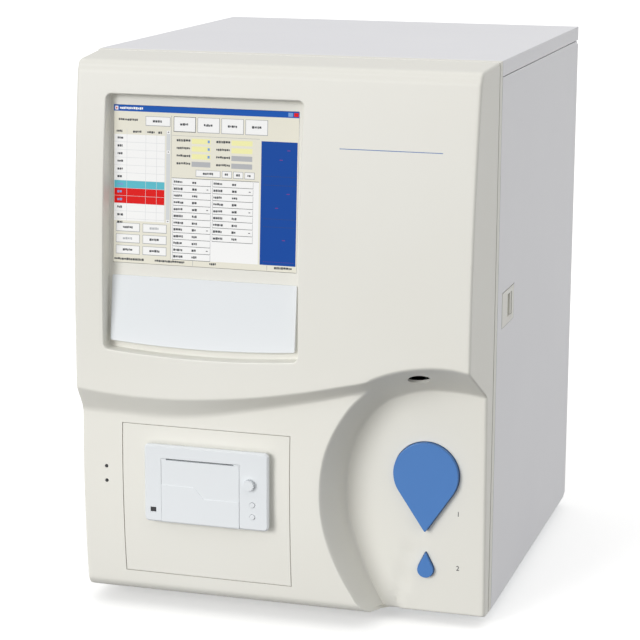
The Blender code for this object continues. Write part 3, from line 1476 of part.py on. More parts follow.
def fan_frame(plastic):
    half = FAN_SIDE / 2
    back = FAN_FRONT + FAN_DEPTH
    bore = rod((FAN_X, FAN_FRONT - OVERRUN, FAN_Z), (FAN_X, back + OVERRUN, FAN_Z), FAN_BORE, FINE_SIDES)
    hub = rod((FAN_X, FAN_FRONT, FAN_Z), (FAN_X, FAN_FRONT + FAN_BACK, FAN_Z), FAN_HUB)
    struts = []
    for across in (
        (half - FAN_STRUT / 4, FAN_STRUT / 2),
        (FAN_STRUT / 2, half - FAN_STRUT / 4),
    ):
        struts.append(
            box(
                (FAN_X - across[0], FAN_FRONT + GAP, FAN_Z - across[1]),
                (FAN_X + across[0], FAN_FRONT + FAN_BACK - GAP, FAN_Z + across[1]),
            )
        )
    frame = box((FAN_X - half, FAN_FRONT, FAN_Z - half), (FAN_X + half, back, FAN_Z + half))
    return make("fan_frame", plastic, frame, cut=[bore], fill=[hub, *struts])


def fan_rotor(plastic):
    front = FAN_FRONT + FAN_BACK + GAP
    hub = rod((FAN_X, front, FAN_Z), (FAN_X, front + ROTOR_DEPTH, FAN_Z), FAN_HUB)
    middle = front + ROTOR_DEPTH / 2
    blades = []
    for n in range(FAN_BLADES):
        turn = Matrix.Rotation(2 * math.pi * n / FAN_BLADES, 4, "Y")
        rings = []
        for radius, twist in ((FAN_HUB - FAN_STRUT / 2, 1.0), (BLADE_RADIUS, 0.7)):
            lean = Matrix.Rotation(BLADE_TWIST * twist, 4, "X")
            ring = []
            for chord, thick in ((-1, -1), (1, -1), (1, 1), (-1, 1)):
                corner = lean @ Vector((0, thick * BLADE_THICKNESS / 2, chord * BLADE_CHORD / 2))
                point = turn @ Vector((radius, corner.y, corner.z))
                ring.append((FAN_X + point.x, middle + point.y, FAN_Z + point.z))
            rings.append(ring)
        blades.append(loft(rings))
    return make("fan_rotor", plastic, hub, add=blades, pivot=(FAN_X, front, FAN_Z))


def fan_guard(metal):
    back = REAR_SEAT + GUARD_THICKNESS
    outer = FAN_SIDE / 2
    disc = rod((FAN_X, REAR_SEAT, FAN_Z), (FAN_X, back, FAN_Z), outer, FINE_SIDES)
    pitch = outer / (GUARD_RINGS + 1)
    cuts = []
    fills = []
    for n in range(1, GUARD_RINGS + 1):
        ring_outer = pitch * n + pitch - GUARD_WIRE
        cuts.append((pitch * n, ring_outer))
    channels = []
    for inner, ring_outer in cuts:
        start = (FAN_X, REAR_SEAT - OVERRUN, FAN_Z)
        tube = rod(start, (FAN_X, back + OVERRUN, FAN_Z), ring_outer, FINE_SIDES)
        core = rod(
            (FAN_X, REAR_SEAT - 2 * OVERRUN, FAN_Z), (FAN_X, back + 2 * OVERRUN, FAN_Z), inner, FINE_SIDES
        )
        channel = make(f"fan_guard_channel_{len(channels)}", metal, tube, cut=[core])
        channel.hide_render = True
        channel.display_type = "WIRE"
        channels.append(channel)
    reach = outer - GUARD_WIRE / 2
    for across in ((reach, GUARD_WIRE / 2), (GUARD_WIRE / 2, reach)):
        fills.append(
            box(
                (FAN_X - across[0], REAR_SEAT + GAP, FAN_Z - across[1]),
                (FAN_X + across[0], back - GAP, FAN_Z + across[1]),
            )
        )
    return make("fan_guard", metal, disc, cut=channels, fill=fills)


def power_inlet(plastic):
    half_width = INLET_WIDTH / 2
    half_height = INLET_HEIGHT / 2
    flange = box(
        (INLET_X - half_width, REAR_SEAT, INLET_Z - half_height),
        (INLET_X + half_width, REAR_SEAT + INLET_FLANGE, INLET_Z + half_height),
    )
    margin = INLET_BODY_MARGIN
    body = box(
        (INLET_X - half_width + margin, REAR_SEAT - INLET_BODY_DEPTH, INLET_Z - half_height + margin),
        (INLET_X + half_width - margin, REAR_SEAT + GAP, INLET_Z + half_height - margin),
    )
    back = REAR_SEAT + INLET_FLANGE
    socket_z = INLET_Z - SOCKET_DROP
    socket = rectangle(
        INLET_X - SOCKET_WIDTH / 2, socket_z - SOCKET_HEIGHT / 2, SOCKET_WIDTH, SOCKET_HEIGHT
    )
    rocker_z = INLET_Z + ROCKER_RISE
    rocker = rectangle(
        INLET_X - ROCKER_BAY_WIDTH / 2, rocker_z - ROCKER_BAY_HEIGHT / 2, ROCKER_BAY_WIDTH, ROCKER_BAY_HEIGHT
    )
    pins = []
    for n in (-1, 0, 1):
        x = INLET_X + n * BLADE_PIN_SPACING
        z = socket_z + (BLADE_PIN_HEIGHT / 2 if n == 0 else -BLADE_PIN_HEIGHT / 2)
        pins.append(
            box(
                (x - BLADE_PIN_WIDTH / 2, back - SOCKET_DEPTH - GAP, z - BLADE_PIN_HEIGHT / 2),
                (x + BLADE_PIN_WIDTH / 2, back - SOCKET_DEPTH / 4, z + BLADE_PIN_HEIGHT / 2),
            )
        )
    return make(
        "power_inlet",
        plastic,
        flange,
        add=[body],
        cut=[
            prism(socket, 1, back - SOCKET_DEPTH, back + OVERRUN),
            prism(rocker, 1, back - ROCKER_BAY_DEPTH, back + OVERRUN),
        ],
        fill=pins,
    )


def power_rocker(plastic):
    section = (
        (-ROCKER_HALF, ROCKER_CREST),
        (0, ROCKER_VALLEY),
        (ROCKER_HALF, ROCKER_CREST),
        (ROCKER_HALF - ROCKER_CREST, -ROCKER_ROOT),
        (ROCKER_CREST - ROCKER_HALF, -ROCKER_ROOT),
    )
    outline = []
    for rise, proud in section:
        y = proud * math.cos(ROCKER_TILT) - rise * math.sin(ROCKER_TILT)
        z = rise * math.cos(ROCKER_TILT) + proud * math.sin(ROCKER_TILT)
        outline.append((ROCKER_AXIS[1] + y, ROCKER_AXIS[2] + z))
    half = ROCKER_BAY_WIDTH / 2 - GAP
    return make("power_rocker", plastic, prism(outline, 0, INLET_X - half, INLET_X + half), pivot=ROCKER_AXIS)


def data_sockets(metal):
    left = DATA_X - DATA_WIDTH / 2
    bottom = DATA_Z - DATA_HEIGHT / 2
    back = REAR_SEAT + DATA_PLATE
    plate = box((left, REAR_SEAT, bottom), (left + DATA_WIDTH, back, bottom + DATA_HEIGHT))
    margin = DATA_BODY_MARGIN
    body = box(
        (left + margin, REAR_SEAT - DATA_BODY_DEPTH, bottom + margin),
        (left + DATA_WIDTH - margin, REAR_SEAT + GAP, bottom + DATA_HEIGHT - margin),
    )
    boss_x = DATA_X - DATA_BOSS_SHIFT
    half = DATA_BOSS_WIDTH / 2
    slant = DATA_BOSS_HEIGHT / 6
    rise = DATA_BOSS_HEIGHT / 2
    shell = [(boss_x - half + slant, DATA_Z - rise), (boss_x + half - slant, DATA_Z - rise)]
    shell += [(boss_x + half, DATA_Z + rise), (boss_x - half, DATA_Z + rise)]
    boss = prism(shell, 1, REAR_SEAT + GAP, back + DATA_BOSS_PROUD)
    usb = []
    for shift in USB_SHIFTS:
        outline = rectangle(DATA_X + shift - USB_WIDTH / 2, DATA_Z - USB_HEIGHT / 2, USB_WIDTH, USB_HEIGHT)
        usb.append(prism(outline, 1, back - USB_DEPTH, back + OVERRUN))
    return make("data_sockets", metal, plate, add=[body, boss], cut=usb)


def port_places():
    half = PORT_SPACING / 2
    return [(PORT_X + i * half, PORT_Z + k * half) for i in (-1, 1) for k in (-1, 1)]


def fluid_ports(plastic):
    half = PORT_PLATE_SIDE / 2
    plate = box(
        (PORT_X - half, REAR_SEAT, PORT_Z - half), (PORT_X + half, REAR_SEAT + PORT_PLATE, PORT_Z + half)
    )
    end = CASE_DEPTH + REAR_REACH
    stems = []
    bores = []
    for x, z in port_places():
        stems.append(rod((x, REAR_SEAT - PORT_TAIL, z), (x, REAR_SEAT + GAP, z), PORT_STEM, SMALL_SIDES))
        collar_end = REAR_SEAT + PORT_PLATE + PORT_COLLAR_LENGTH
        stems.append(rod((x, REAR_SEAT + GAP, z), (x, collar_end, z), PORT_COLLAR, SMALL_SIDES))
        stems.append(rod((x, collar_end - GAP, z), (x, end, z), PORT_NIPPLE, SMALL_SIDES))
        bores.append(rod((x, end - PORT_TAIL, z), (x, end + OVERRUN, z), PORT_BORE, SMALL_SIDES))
    return make("fluid_ports", plastic, plate, add=stems, cut=bores)


# Electronics


def power_supply(metal):
    top = FLOOR_TOP + SUPPLY_HEIGHT
    right = SUPPLY_X + SUPPLY_WIDTH
    base = box((SUPPLY_X, SUPPLY_Y, FLOOR_TOP), (right, SUPPLY_Y + SUPPLY_LENGTH, top))
    slots = []
    for n in range(SUPPLY_SLOTS):
        y = SUPPLY_Y + SUPPLY_LENGTH * (n + 1) / (SUPPLY_SLOTS + 1)
        slots.append(
            box(
                (SUPPLY_X + 2 * SUPPLY_FIN, y - SUPPLY_FIN / 2, top - SUPPLY_FIN),
                (right - 2 * SUPPLY_FIN, y + SUPPLY_FIN / 2, top + OVERRUN),
            )
        )
    return make("power_supply", metal, base, cut=slots)


def main_board(board):
    right = WALL_X - GAP - BOARD_POST
    left = right - BOARD_THICKNESS
    sheet = box((left, BOARD_Y, BOARD_Z), (right, BOARD_Y + BOARD_LENGTH, BOARD_Z + BOARD_HEIGHT))
    parts = []
    for y in (BOARD_Y + BOARD_POST_INSET, BOARD_Y + BOARD_LENGTH - BOARD_POST_INSET):
        for z in (BOARD_Z + BOARD_POST_INSET, BOARD_Z + BOARD_HEIGHT - BOARD_POST_INSET):
            parts.append(rod((right - GAP, y, z), (WALL_X - GAP, y, z), POST_RADIUS, SMALL_SIDES))
    for y_share, z_share, side_share in CHIP_SHARES:
        y = BOARD_Y + BOARD_LENGTH * y_share
        z = BOARD_Z + BOARD_HEIGHT * z_share
        half = BOARD_HEIGHT * side_share / 2
        parts.append(box((left - CHIP_THICKNESS, y - half, z - half), (left + GAP, y + half, z + half)))
    return make("main_board", board, sheet, add=parts)


# Fluidics


def bath_bracket(metal):
    start = BATH_Y - SHELF_MARGIN
    end = BATH_Y + BATH_SPACING + SHELF_MARGIN
    shelf = box(
        (WALL_FACE, start, BATH_SHELF_Z - SHELF_THICKNESS),
        (BATH_X + SHELF_MARGIN, end, BATH_SHELF_Z),
    )
    plate = box(
        (WALL_FACE, start, BATH_SHELF_Z - BATH_DROP),
        (WALL_FACE + SHELF_THICKNESS, end, BATH_SHELF_Z),
    )
    holes = [
        upright(BATH_X, y, BATH_SHELF_Z - OVERRUN, BATH_SHELF_Z + OVERRUN, BATH_RADIUS + GAP, ROUND_SIDES)
        for y in (BATH_Y, BATH_Y + BATH_SPACING)
    ]
    return make("bath_bracket", metal, shelf, add=[plate], cut=holes)


def count_bath(name, plastic, y):
    seat = BATH_SHELF_Z + GAP
    bottom = BATH_SHELF_Z - BATH_DROP
    cup = upright(BATH_X, y, bottom, seat + BATH_RISE, BATH_RADIUS, ROUND_SIDES)
    lip = upright(BATH_X, y, seat, seat + BATH_LIP_THICKNESS, BATH_LIP, ROUND_SIDES)
    nipple = upright(BATH_X, y, bottom - BATH_NIPPLE_LENGTH, bottom + GAP, BATH_NIPPLE)
    bore = upright(BATH_X, y, bottom + BATH_FLOOR, seat + BATH_RISE + OVERRUN, BATH_BORE, ROUND_SIDES)
    return make(name, plastic, cup, add=[lip, nipple], cut=[bore])


def valve_bank(plastic):
    length = VALVE_SPACING * VALVE_COUNT
    half = MANIFOLD_HEIGHT / 2
    block = box(
        (WALL_FACE, VALVE_Y, VALVE_Z - half), (WALL_FACE + MANIFOLD_WIDTH, VALVE_Y + length, VALVE_Z + half)
    )
    valves = []
    for n in range(VALVE_COUNT):
        y = VALVE_Y + VALVE_SPACING * (n + 0.5)
        start = WALL_FACE + MANIFOLD_WIDTH - GAP
        valves.append(rod((start, y, VALVE_Z), (start + VALVE_LENGTH, y, VALVE_Z), VALVE_RADIUS, SMALL_SIDES))
    return make("valve_bank", plastic, block, add=valves)


def syringe_pump(metal):
    half = SYRINGE_PLATE_WIDTH / 2
    plate = box(
        (WALL_FACE, SYRINGE_Y - half, SYRINGE_BOTTOM),
        (WALL_FACE + SYRINGE_PLATE, SYRINGE_Y + half, SYRINGE_TOP),
    )
    reach = SYRINGE_X + SYRINGE_CLAMP_HALF
    clamp = SYRINGE_CLAMP_HALF
    top = box(
        (WALL_FACE, SYRINGE_Y - clamp, SYRINGE_TOP - SYRINGE_CLAMP), (reach, SYRINGE_Y + clamp, SYRINGE_TOP)
    )
    lower_z = SYRINGE_BARREL_Z - GAP - SYRINGE_CLAMP
    lower = box((WALL_FACE, SYRINGE_Y - clamp, lower_z), (reach, SYRINGE_Y + clamp, lower_z + SYRINGE_CLAMP))
    motor_top = SYRINGE_BOTTOM + SYRINGE_MOTOR_HEIGHT
    motor = box((WALL_FACE, SYRINGE_Y - clamp, SYRINGE_BOTTOM), (reach, SYRINGE_Y + clamp, motor_top))
    rod_hole = upright(SYRINGE_X, SYRINGE_Y, lower_z - OVERRUN, lower_z + 2 * OVERRUN, PLUNGER_ROD + GAP)
    return make("syringe_pump", metal, plate, add=[top, lower, motor], cut=[rod_hole])


def syringe_barrel(glass):
    tube = upright(
        SYRINGE_X, SYRINGE_Y, SYRINGE_BARREL_Z, SYRINGE_BARREL_Z + BARREL_LENGTH, BARREL_RADIUS, ROUND_SIDES
    )
    bore = upright(
        SYRINGE_X,
        SYRINGE_Y,
        SYRINGE_BARREL_Z - OVERRUN,
        SYRINGE_BARREL_Z + BARREL_LENGTH - BARREL_BASE,
        BARREL_BORE,
        ROUND_SIDES,
    )
    return make("syringe_barrel", glass, tube, cut=[bore])


def syringe_plunger(steel):
    top = SYRINGE_BARREL_Z + PLUNGER_INSERT
    head = upright(SYRINGE_X, SYRINGE_Y, top - PLUNGER_HEAD, top, PLUNGER_RADIUS, ROUND_SIDES)
    bottom = SYRINGE_BOTTOM + SYRINGE_MOTOR_HEIGHT + GAP + PLUNGER_INSERT - PLUNGER_HEAD
    stem = upright(SYRINGE_X, SYRINGE_Y, bottom, top - PLUNGER_HEAD + GAP, PLUNGER_ROD)
    return make("syringe_plunger", steel, head, add=[stem], pivot=(SYRINGE_X, SYRINGE_Y, bottom))


def pump_housing(plastic):
    start = WALL_FACE
    motor_end = start + PUMP_BODY
    cup_end = motor_end + PUMP_CUP
    motor = rod((start, PUMP_Y, PUMP_Z), (motor_end + GAP, PUMP_Y, PUMP_Z), PUMP_MOTOR_RADIUS)
    cup = rod((motor_end, PUMP_Y, PUMP_Z), (cup_end, PUMP_Y, PUMP_Z), PUMP_RADIUS, FINE_SIDES)
    floor = motor_end + PUMP_CUP - PUMP_ROTOR_DEPTH - 2 * GAP
    bore = rod((floor, PUMP_Y, PUMP_Z), (cup_end + OVERRUN, PUMP_Y, PUMP_Z), PUMP_CUP_BORE, FINE_SIDES)
    return make("pump_housing", plastic, motor, add=[cup], cut=[bore])


def pump_rotor(plastic):
    floor = WALL_FACE + PUMP_BODY + PUMP_CUP - PUMP_ROTOR_DEPTH - GAP
    end = floor + PUMP_ROTOR_DEPTH
    hub = rod((floor, PUMP_Y, PUMP_Z), (end, PUMP_Y, PUMP_Z), PUMP_HUB)
    middle = (floor + end) / 2
    rollers = []
    for n in range(PUMP_ROLLERS):
        angle = 2 * math.pi * n / PUMP_ROLLERS
        y = PUMP_Y + PUMP_ROLLER_REACH * math.cos(angle)
        z = PUMP_Z + PUMP_ROLLER_REACH * math.sin(angle)
        rollers.append(rod((middle, PUMP_Y, PUMP_Z), (middle, y, z), PUMP_ARM / 2, SMALL_SIDES))
        rollers.append(rod((floor + GAP, y, z), (end - GAP, y, z), PUMP_ROLLER, SMALL_SIDES))
    return make("pump_rotor", plastic, hub, add=rollers, pivot=(floor, PUMP_Y, PUMP_Z))


# Assembly


def clear_scene():
    for item in list(bpy.data.objects):
        bpy.data.objects.remove(item)


def main():
    clear_scene()
    datum = bpy.data.objects.new("case_datum", None)
    datum.location = DATUM_PLACE
    bpy.context.scene.collection.objects.link(datum)

    shell_plastic = finish("warm_white_abs", (0.75, 0.74, 0.68), 0.45)
    painted = finish("grey_white_painted_steel", (0.72, 0.72, 0.74), 0.5)
    zinc = finish("zinc_plated_steel", (0.62, 0.63, 0.64), 0.4, 1.0)
    steel = finish("ground_steel", (0.6, 0.6, 0.62), 0.25, 1.0)
    printer_plastic = finish("cool_white_abs", (0.74, 0.77, 0.8), 0.4)
    button_blue = finish("blue_abs", (0.05, 0.18, 0.47), 0.35)
    black_plastic = finish("black_nylon", (0.02, 0.02, 0.02), 0.5)
    clear_plastic = finish("clear_acrylic", (0.8, 0.85, 0.85), 0.1, 0.0, 0.4)
    screen_glass = finish("screen_glass", (0.1, 0.25, 0.55), 0.15)
    rubber = finish("black_rubber", (0.03, 0.03, 0.03), 0.8)
    board = finish("green_circuit_board", (0.02, 0.2, 0.08), 0.5)
    paper = finish("thermal_paper", (0.85, 0.85, 0.83), 0.9)

    front_shell(shell_plastic)
    front_rim(shell_plastic)
    touch_glass(screen_glass)
    display_module(zinc)
    label_plate(printer_plastic)
    printer_panel(shell_plastic)
    printer_body(printer_plastic)
    printer_door(printer_plastic)
    platen_roller(rubber)
    paper_roll(paper)
    printer_knob(printer_plastic)
    printer_key("printer_key_upper", printer_plastic, KEY_UPPER_Z)
    printer_key("printer_key_lower", printer_plastic, KEY_LOWER_Z)
    printer_lamp(black_plastic)
    status_light_board(board)
    push_button("start_button", button_blue, START_RADIUS, START_TIP, START_Z, BUTTON_FACE, False)
    push_button("dilute_button", button_blue, DILUTE_RADIUS, DILUTE_TIP, DILUTE_Z, DILUTE_FACE, True)
    button_board(board)

    probe_guide(black_plastic)
    sample_probe(steel)
    probe_carriage(black_plastic)
    probe_frame(zinc)
    guide_rod("guide_rod_left", steel, -1)
    guide_rod("guide_rod_right", steel, 1)
    lead_screw(steel)
    probe_motor(black_plastic)
    rinse_block(clear_plastic)

    top_cover(painted)
    left_panel(painted)
    side_door(painted)
    hinge_brackets(zinc)
    latch_housing(printer_plastic)
    latch_slider(zinc)
    base_tray(zinc)
    front_bulkhead(zinc)
    rear_panel(painted)
    centre_wall(zinc)
    foot("foot_front_left", rubber, -FOOT_X, FOOT_FRONT_Y)
    foot("foot_front_right", rubber, FOOT_X, FOOT_FRONT_Y)
    foot("foot_rear_left", rubber, -FOOT_X, FOOT_REAR_Y)
    foot("foot_rear_right", rubber, FOOT_X, FOOT_REAR_Y)

    fan_frame(black_plastic)
    fan_rotor(black_plastic)
    fan_guard(zinc)
    power_inlet(black_plastic)
    power_rocker(black_plastic)
    data_sockets(zinc)
    fluid_ports(clear_plastic)

    power_supply(zinc)
    main_board(board)
    bath_bracket(zinc)
    count_bath("count_bath_front", clear_plastic, BATH_Y)
    count_bath("count_bath_rear", clear_plastic, BATH_Y + BATH_SPACING)
    valve_bank(black_plastic)
    syringe_pump(zinc)
    syringe_barrel(clear_plastic)
    syringe_plunger(steel)
    pump_housing(black_plastic)
    pump_rotor(printer_plastic)


main()
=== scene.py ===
"""Looks of the bench hematology analyzer: its moulded front, screen, printer, metal case and works."""

import json
import math

import bmesh
import bpy
import numpy as np
from mathutils import Matrix, Vector
from mathutils.geometry import delaunay_2d_cdt

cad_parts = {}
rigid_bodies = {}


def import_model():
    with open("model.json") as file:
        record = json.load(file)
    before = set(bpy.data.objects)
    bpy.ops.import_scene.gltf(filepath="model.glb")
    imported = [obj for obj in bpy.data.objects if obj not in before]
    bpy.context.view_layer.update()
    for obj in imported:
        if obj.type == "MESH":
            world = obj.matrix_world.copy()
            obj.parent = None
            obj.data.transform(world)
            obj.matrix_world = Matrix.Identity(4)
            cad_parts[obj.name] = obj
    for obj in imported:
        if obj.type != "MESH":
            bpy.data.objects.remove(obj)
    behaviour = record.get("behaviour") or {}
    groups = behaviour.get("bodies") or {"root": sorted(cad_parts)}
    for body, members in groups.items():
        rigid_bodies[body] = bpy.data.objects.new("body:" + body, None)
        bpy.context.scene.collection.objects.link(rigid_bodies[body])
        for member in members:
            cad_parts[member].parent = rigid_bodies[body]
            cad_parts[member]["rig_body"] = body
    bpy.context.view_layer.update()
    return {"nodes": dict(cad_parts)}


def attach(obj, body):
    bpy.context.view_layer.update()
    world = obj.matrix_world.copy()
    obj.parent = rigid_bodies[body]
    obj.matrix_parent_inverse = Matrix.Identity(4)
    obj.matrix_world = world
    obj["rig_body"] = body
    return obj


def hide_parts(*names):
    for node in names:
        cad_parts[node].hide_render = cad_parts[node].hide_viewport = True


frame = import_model()

# Everything below is in millimetres from the middle of the seam between front and case, level with
# the case's underside, until a mesh is made.
MM = 0.001
SEAM_Y = -145.0
FOOT = 10.0
# Edges that turn by more than this are softened and shaded as edges
SHARP = math.radians(38)


def to_row(points):
    """Points in millimetres of the case as rows in metres of the frame."""
    array = np.array(points, float).reshape(-1, 3)
    return (array + (0, SEAM_Y, FOOT)) * MM


# Materials

# The slow drift of a colour, how far the grain moves the roughness down and up, and its bump
DRIFT_SCALE = 9.0
ROUGHNESS_DOWN = 0.06
ROUGHNESS_UP = 0.08
BUMP = 0.5
# A board's tracks, in rows 0.96 mm high, as the texture's rows are a quarter of its unit
TRACK_SCALE = 260.0
# The screen's squares for each metre, what bright and dark squares keep of a colour, and its glow
PIXEL_SCALE = 2400.0
PIXEL_SHARES = (0.5, 0.46)
GLOW = 0.5


def linear(colour):
    """sRGB hex to the linear values that a shader takes."""
    values = [int(colour[n : n + 2], 16) / 255 for n in (1, 3, 5)]
    return (*[v / 12.92 if v <= 0.04045 else ((v + 0.055) / 1.055) ** 2.4 for v in values], 1)


def add(material, kind, **values):
    """A node of a material or world, with its settings, its values and the outputs that it is linked to."""
    node = material.node_tree.nodes.new(kind)
    for name, value in values.items():
        if hasattr(node, name) and name not in node.inputs:
            setattr(node, name, value)
            continue
        socket = node.inputs[name.replace("_", " ") if name not in node.inputs else name]
        if isinstance(value, bpy.types.NodeSocket):
            material.node_tree.links.new(value, socket)
        else:
            socket.default_value = value
    return node


def surface(name, colour, roughness, metallic=0.0, **extra):
    """A plain material and its shader."""
    material = bpy.data.materials.new(name)
    material.use_nodes = True
    shader = material.node_tree.nodes["Principled BSDF"]
    values = {"Base Color": linear(colour), "Roughness": roughness, "Metallic": metallic, **extra}
    for key, value in values.items():
        shader.inputs[key.replace("_", " ")].default_value = value
    return material, shader


def grained(name, colour, shade, roughness, grain_mm, depth, metallic=0.0, stretch=(1, 1, 1), **extra):
    """A surface whose fine grain sets bump and roughness, and whose colour drifts slowly to the shade."""
    material, shader = surface(name, colour, roughness, metallic, **extra)
    place = add(material, "ShaderNodeTexCoord").outputs["Object"]
    stretched = add(material, "ShaderNodeMapping", Vector=place, Scale=stretch).outputs[0]
    fine = add(material, "ShaderNodeTexNoise", Vector=stretched, Scale=1 / (grain_mm * MM), Detail=3.0)
    slow = add(material, "ShaderNodeTexNoise", Vector=place, Scale=DRIFT_SCALE, Detail=4.0)
    mix = add(material, "ShaderNodeMix", data_type="RGBA", Factor=slow.outputs[0])
    mix.inputs[6].default_value = linear(colour)
    mix.inputs[7].default_value = linear(shade)
    low, high = max(roughness - ROUGHNESS_DOWN, 0.02), min(roughness + ROUGHNESS_UP, 1.0)
    rough = add(material, "ShaderNodeMapRange", Value=fine.outputs[0], To_Min=low, To_Max=high)
    bump = add(material, "ShaderNodeBump", Height=fine.outputs[0], Strength=BUMP, Distance=depth * MM)
    links = material.node_tree.links
    links.new(mix.outputs[2], shader.inputs["Base Color"])
    links.new(rough.outputs[0], shader.inputs["Roughness"])
    links.new(bump.outputs[0], shader.inputs["Normal"])
    return material


# All grains but the orange peel are drawn several times as coarse as they are, so that they show.

# Warm white ABS of the mouldings, moulded against a spark-eroded tool: matt, with no sharp reflection
SHELL = grained("warm_white_abs", "#EAE9E2", "#E7E5DC", 0.42, 0.45, 0.012)
# Cool white ABS of the printer and the plate under the screen, moulded finer: bluer and a little glossier
COOL = grained("cool_white_abs", "#E5E8EA", "#E1E5E8", 0.38, 0.4, 0.008)
# Grey white powder coat on steel sheet: orange peel, whose slow waves spread the light to a soft sheen
PAINT = grained("grey_white_powder_coat", "#EBEBEE", "#E6E6EA", 0.45, 1.1, 0.02)
# Zinc-plated steel sheet: a dull bluish metal whose rolled grain draws light streaks upwards
ZINC = grained("zinc_plated_steel", "#C4C7CA", "#B4B9BC", 0.38, 0.8, 0.006, 1.0, (1, 1, 0.15))
# Ground stainless steel bar: bright, with fine rings from the grinding wheel
STEEL = grained("ground_stainless_steel", "#D2D3D6", "#C6C7CA", 0.2, 0.3, 0.003, 1.0, (1, 1, 6))
# Blue ABS of the push buttons, moulded against a smooth tool: an even colour with a soft highlight
BLUE = grained("blue_abs", "#477DC0", "#4377B9", 0.36, 0.5, 0.006)
# Black nylon with glass fibre, moulded: a dry dark grey whose fibres dull the highlight
BLACK = grained("black_nylon", "#1D1E20", "#26272A", 0.5, 0.35, 0.012)
# Nitrile rubber of the feet and the platen, moulded: hardly any highlight
RUBBER = grained("black_rubber", "#232323", "#2B2B2A", 0.75, 0.6, 0.03)
# Clear acrylic of the baths, the barrel and the ports, polished: see-through with a hard gloss
CLEAR = grained("clear_acrylic", "#E8F2F2", "#DCEAEC", 0.08, 2.0, 0.004, Transmission_Weight=0.85, IOR=1.49)
# Thermal paper, coated: a flat white with no gloss
PAPER = grained("thermal_paper", "#F4F3EE", "#ECEAE2", 0.85, 0.25, 0.01)
# Dark ink of the numerals, pad-printed: a thin matt film
INK = grained("dark_ink", "#2B2C30", "#34353A", 0.6, 0.3, 0.002)
# Blue ink of the stripe, printed the same way and a little smoother
BLUE_INK = grained("blue_ink", "#5E80B8", "#5779B2", 0.5, 0.3, 0.002)


def circuit_board():
    """Green solder mask over a net of copper tracks, which stand out paler and a little proud."""
    material, shader = surface("green_circuit_board", "#1E6B3A", 0.35)
    place = add(material, "ShaderNodeTexCoord").outputs["Object"]
    tracks = add(
        material, "ShaderNodeTexBrick", Vector=place, Scale=TRACK_SCALE, Color1=linear("#1E6B3A"),
        Color2=linear("#23763F"), Mortar=linear("#3F9A58"), Mortar_Size=0.06,
    )
    bump = add(material, "ShaderNodeBump", Height=tracks.outputs["Fac"], Strength=0.3, Distance=0.03 * MM)
    links = material.node_tree.links
    links.new(tracks.outputs["Color"], shader.inputs["Base Color"])
    links.new(bump.outputs[0], shader.inputs["Normal"])
    return material


BOARD = circuit_board()


def lit(name, colour):
    """A field of the lit screen: an even glow behind smooth glass, with a faint grid of pixels."""
    material, shader = surface(
        name, colour, 0.3, Specular_IOR_Level=0.08, Emission_Color=linear(colour), Emission_Strength=GLOW
    )
    place = add(material, "ShaderNodeTexCoord").outputs["Object"]
    pixels = add(material, "ShaderNodeTexChecker", Vector=place, Scale=PIXEL_SCALE)
    for socket, share in zip(("Color1", "Color2"), PIXEL_SHARES):
        pixels.inputs[socket].default_value = (*[share * v for v in linear(colour)[:3]], 1)
    material.node_tree.links.new(pixels.outputs[0], shader.inputs["Base Color"])
    return material


# Pieces


def dressed(obj, name, materials, body="analyzer", nodes=()):
    """The object as a named piece: its materials, the CAD nodes that it stands for, and what it rides on."""
    obj.name = name
    obj.data.name = name
    obj.data.materials.clear()
    for material in materials if isinstance(materials, (list, tuple)) else [materials]:
        obj.data.materials.append(material)
    if nodes:
        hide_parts(*nodes)
    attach(obj, body)
    return obj


def placed(name, data):
    """A new object of the scene."""
    obj = bpy.data.objects.new(name, data)
    bpy.context.scene.collection.objects.link(obj)
    return obj


def piece(name, mesh, materials, body="analyzer", nodes=()):
    return dressed(placed(name, mesh), name, materials, body, nodes)


def select(*objects):
    """Selects these objects alone, and makes the first one active."""
    bpy.ops.object.select_all(action="DESELECT")
    bpy.context.view_layer.objects.active = objects[0]
    for obj in objects:
        obj.select_set(True)


def edit(obj):
    select(obj)
    bpy.ops.object.mode_set(mode="EDIT")


def applied(obj):
    """The object with its modifiers applied to its mesh."""
    select(obj)
    for name in [modifier.name for modifier in obj.modifiers]:
        bpy.ops.object.modifier_apply(modifier=name)
    return obj


def change(obj, kind, **settings):
    """Adds a modifier with its settings."""
    modifier = obj.modifiers.new(kind.lower(), kind)
    for name, value in settings.items():
        setattr(modifier, name, value)


def settle(obj, bevel=0.0, solid=0.0):
    """Thickness, soft edges and smooth shading, applied to the mesh."""
    if solid:
        change(obj, "SOLIDIFY", thickness=solid * MM, offset=-1)
        applied(obj)
    if bevel:
        soft = {"width": bevel * MM, "segments": 2, "limit_method": "ANGLE", "angle_limit": SHARP}
        change(obj, "BEVEL", miter_outer="MITER_ARC", **soft)
    change(obj, "WEIGHTED_NORMAL", keep_sharp=True)
    obj.data.shade_smooth()
    obj.data.set_sharp_from_angle(angle=SHARP)
    return applied(obj)


def fresh(primitive, **settings):
    """A primitive with its turn, size and place applied to its mesh."""
    bpy.ops.object.select_all(action="DESELECT")
    primitive(**settings)
    bpy.ops.object.transform_apply()
    return bpy.context.object


def block(low, high):
    """A box between two corners given in millimetres of the case."""
    low, high = (Vector(corner) for corner in to_row([low, high]))
    return fresh(bpy.ops.mesh.primitive_cube_add, size=1, location=(low + high) / 2, scale=high - low)


def cut(obj, tool):
    """The object less the tool, which goes."""
    change(obj, "BOOLEAN", operation="DIFFERENCE", object=tool)
    applied(obj)
    bpy.data.objects.remove(tool)
    return obj


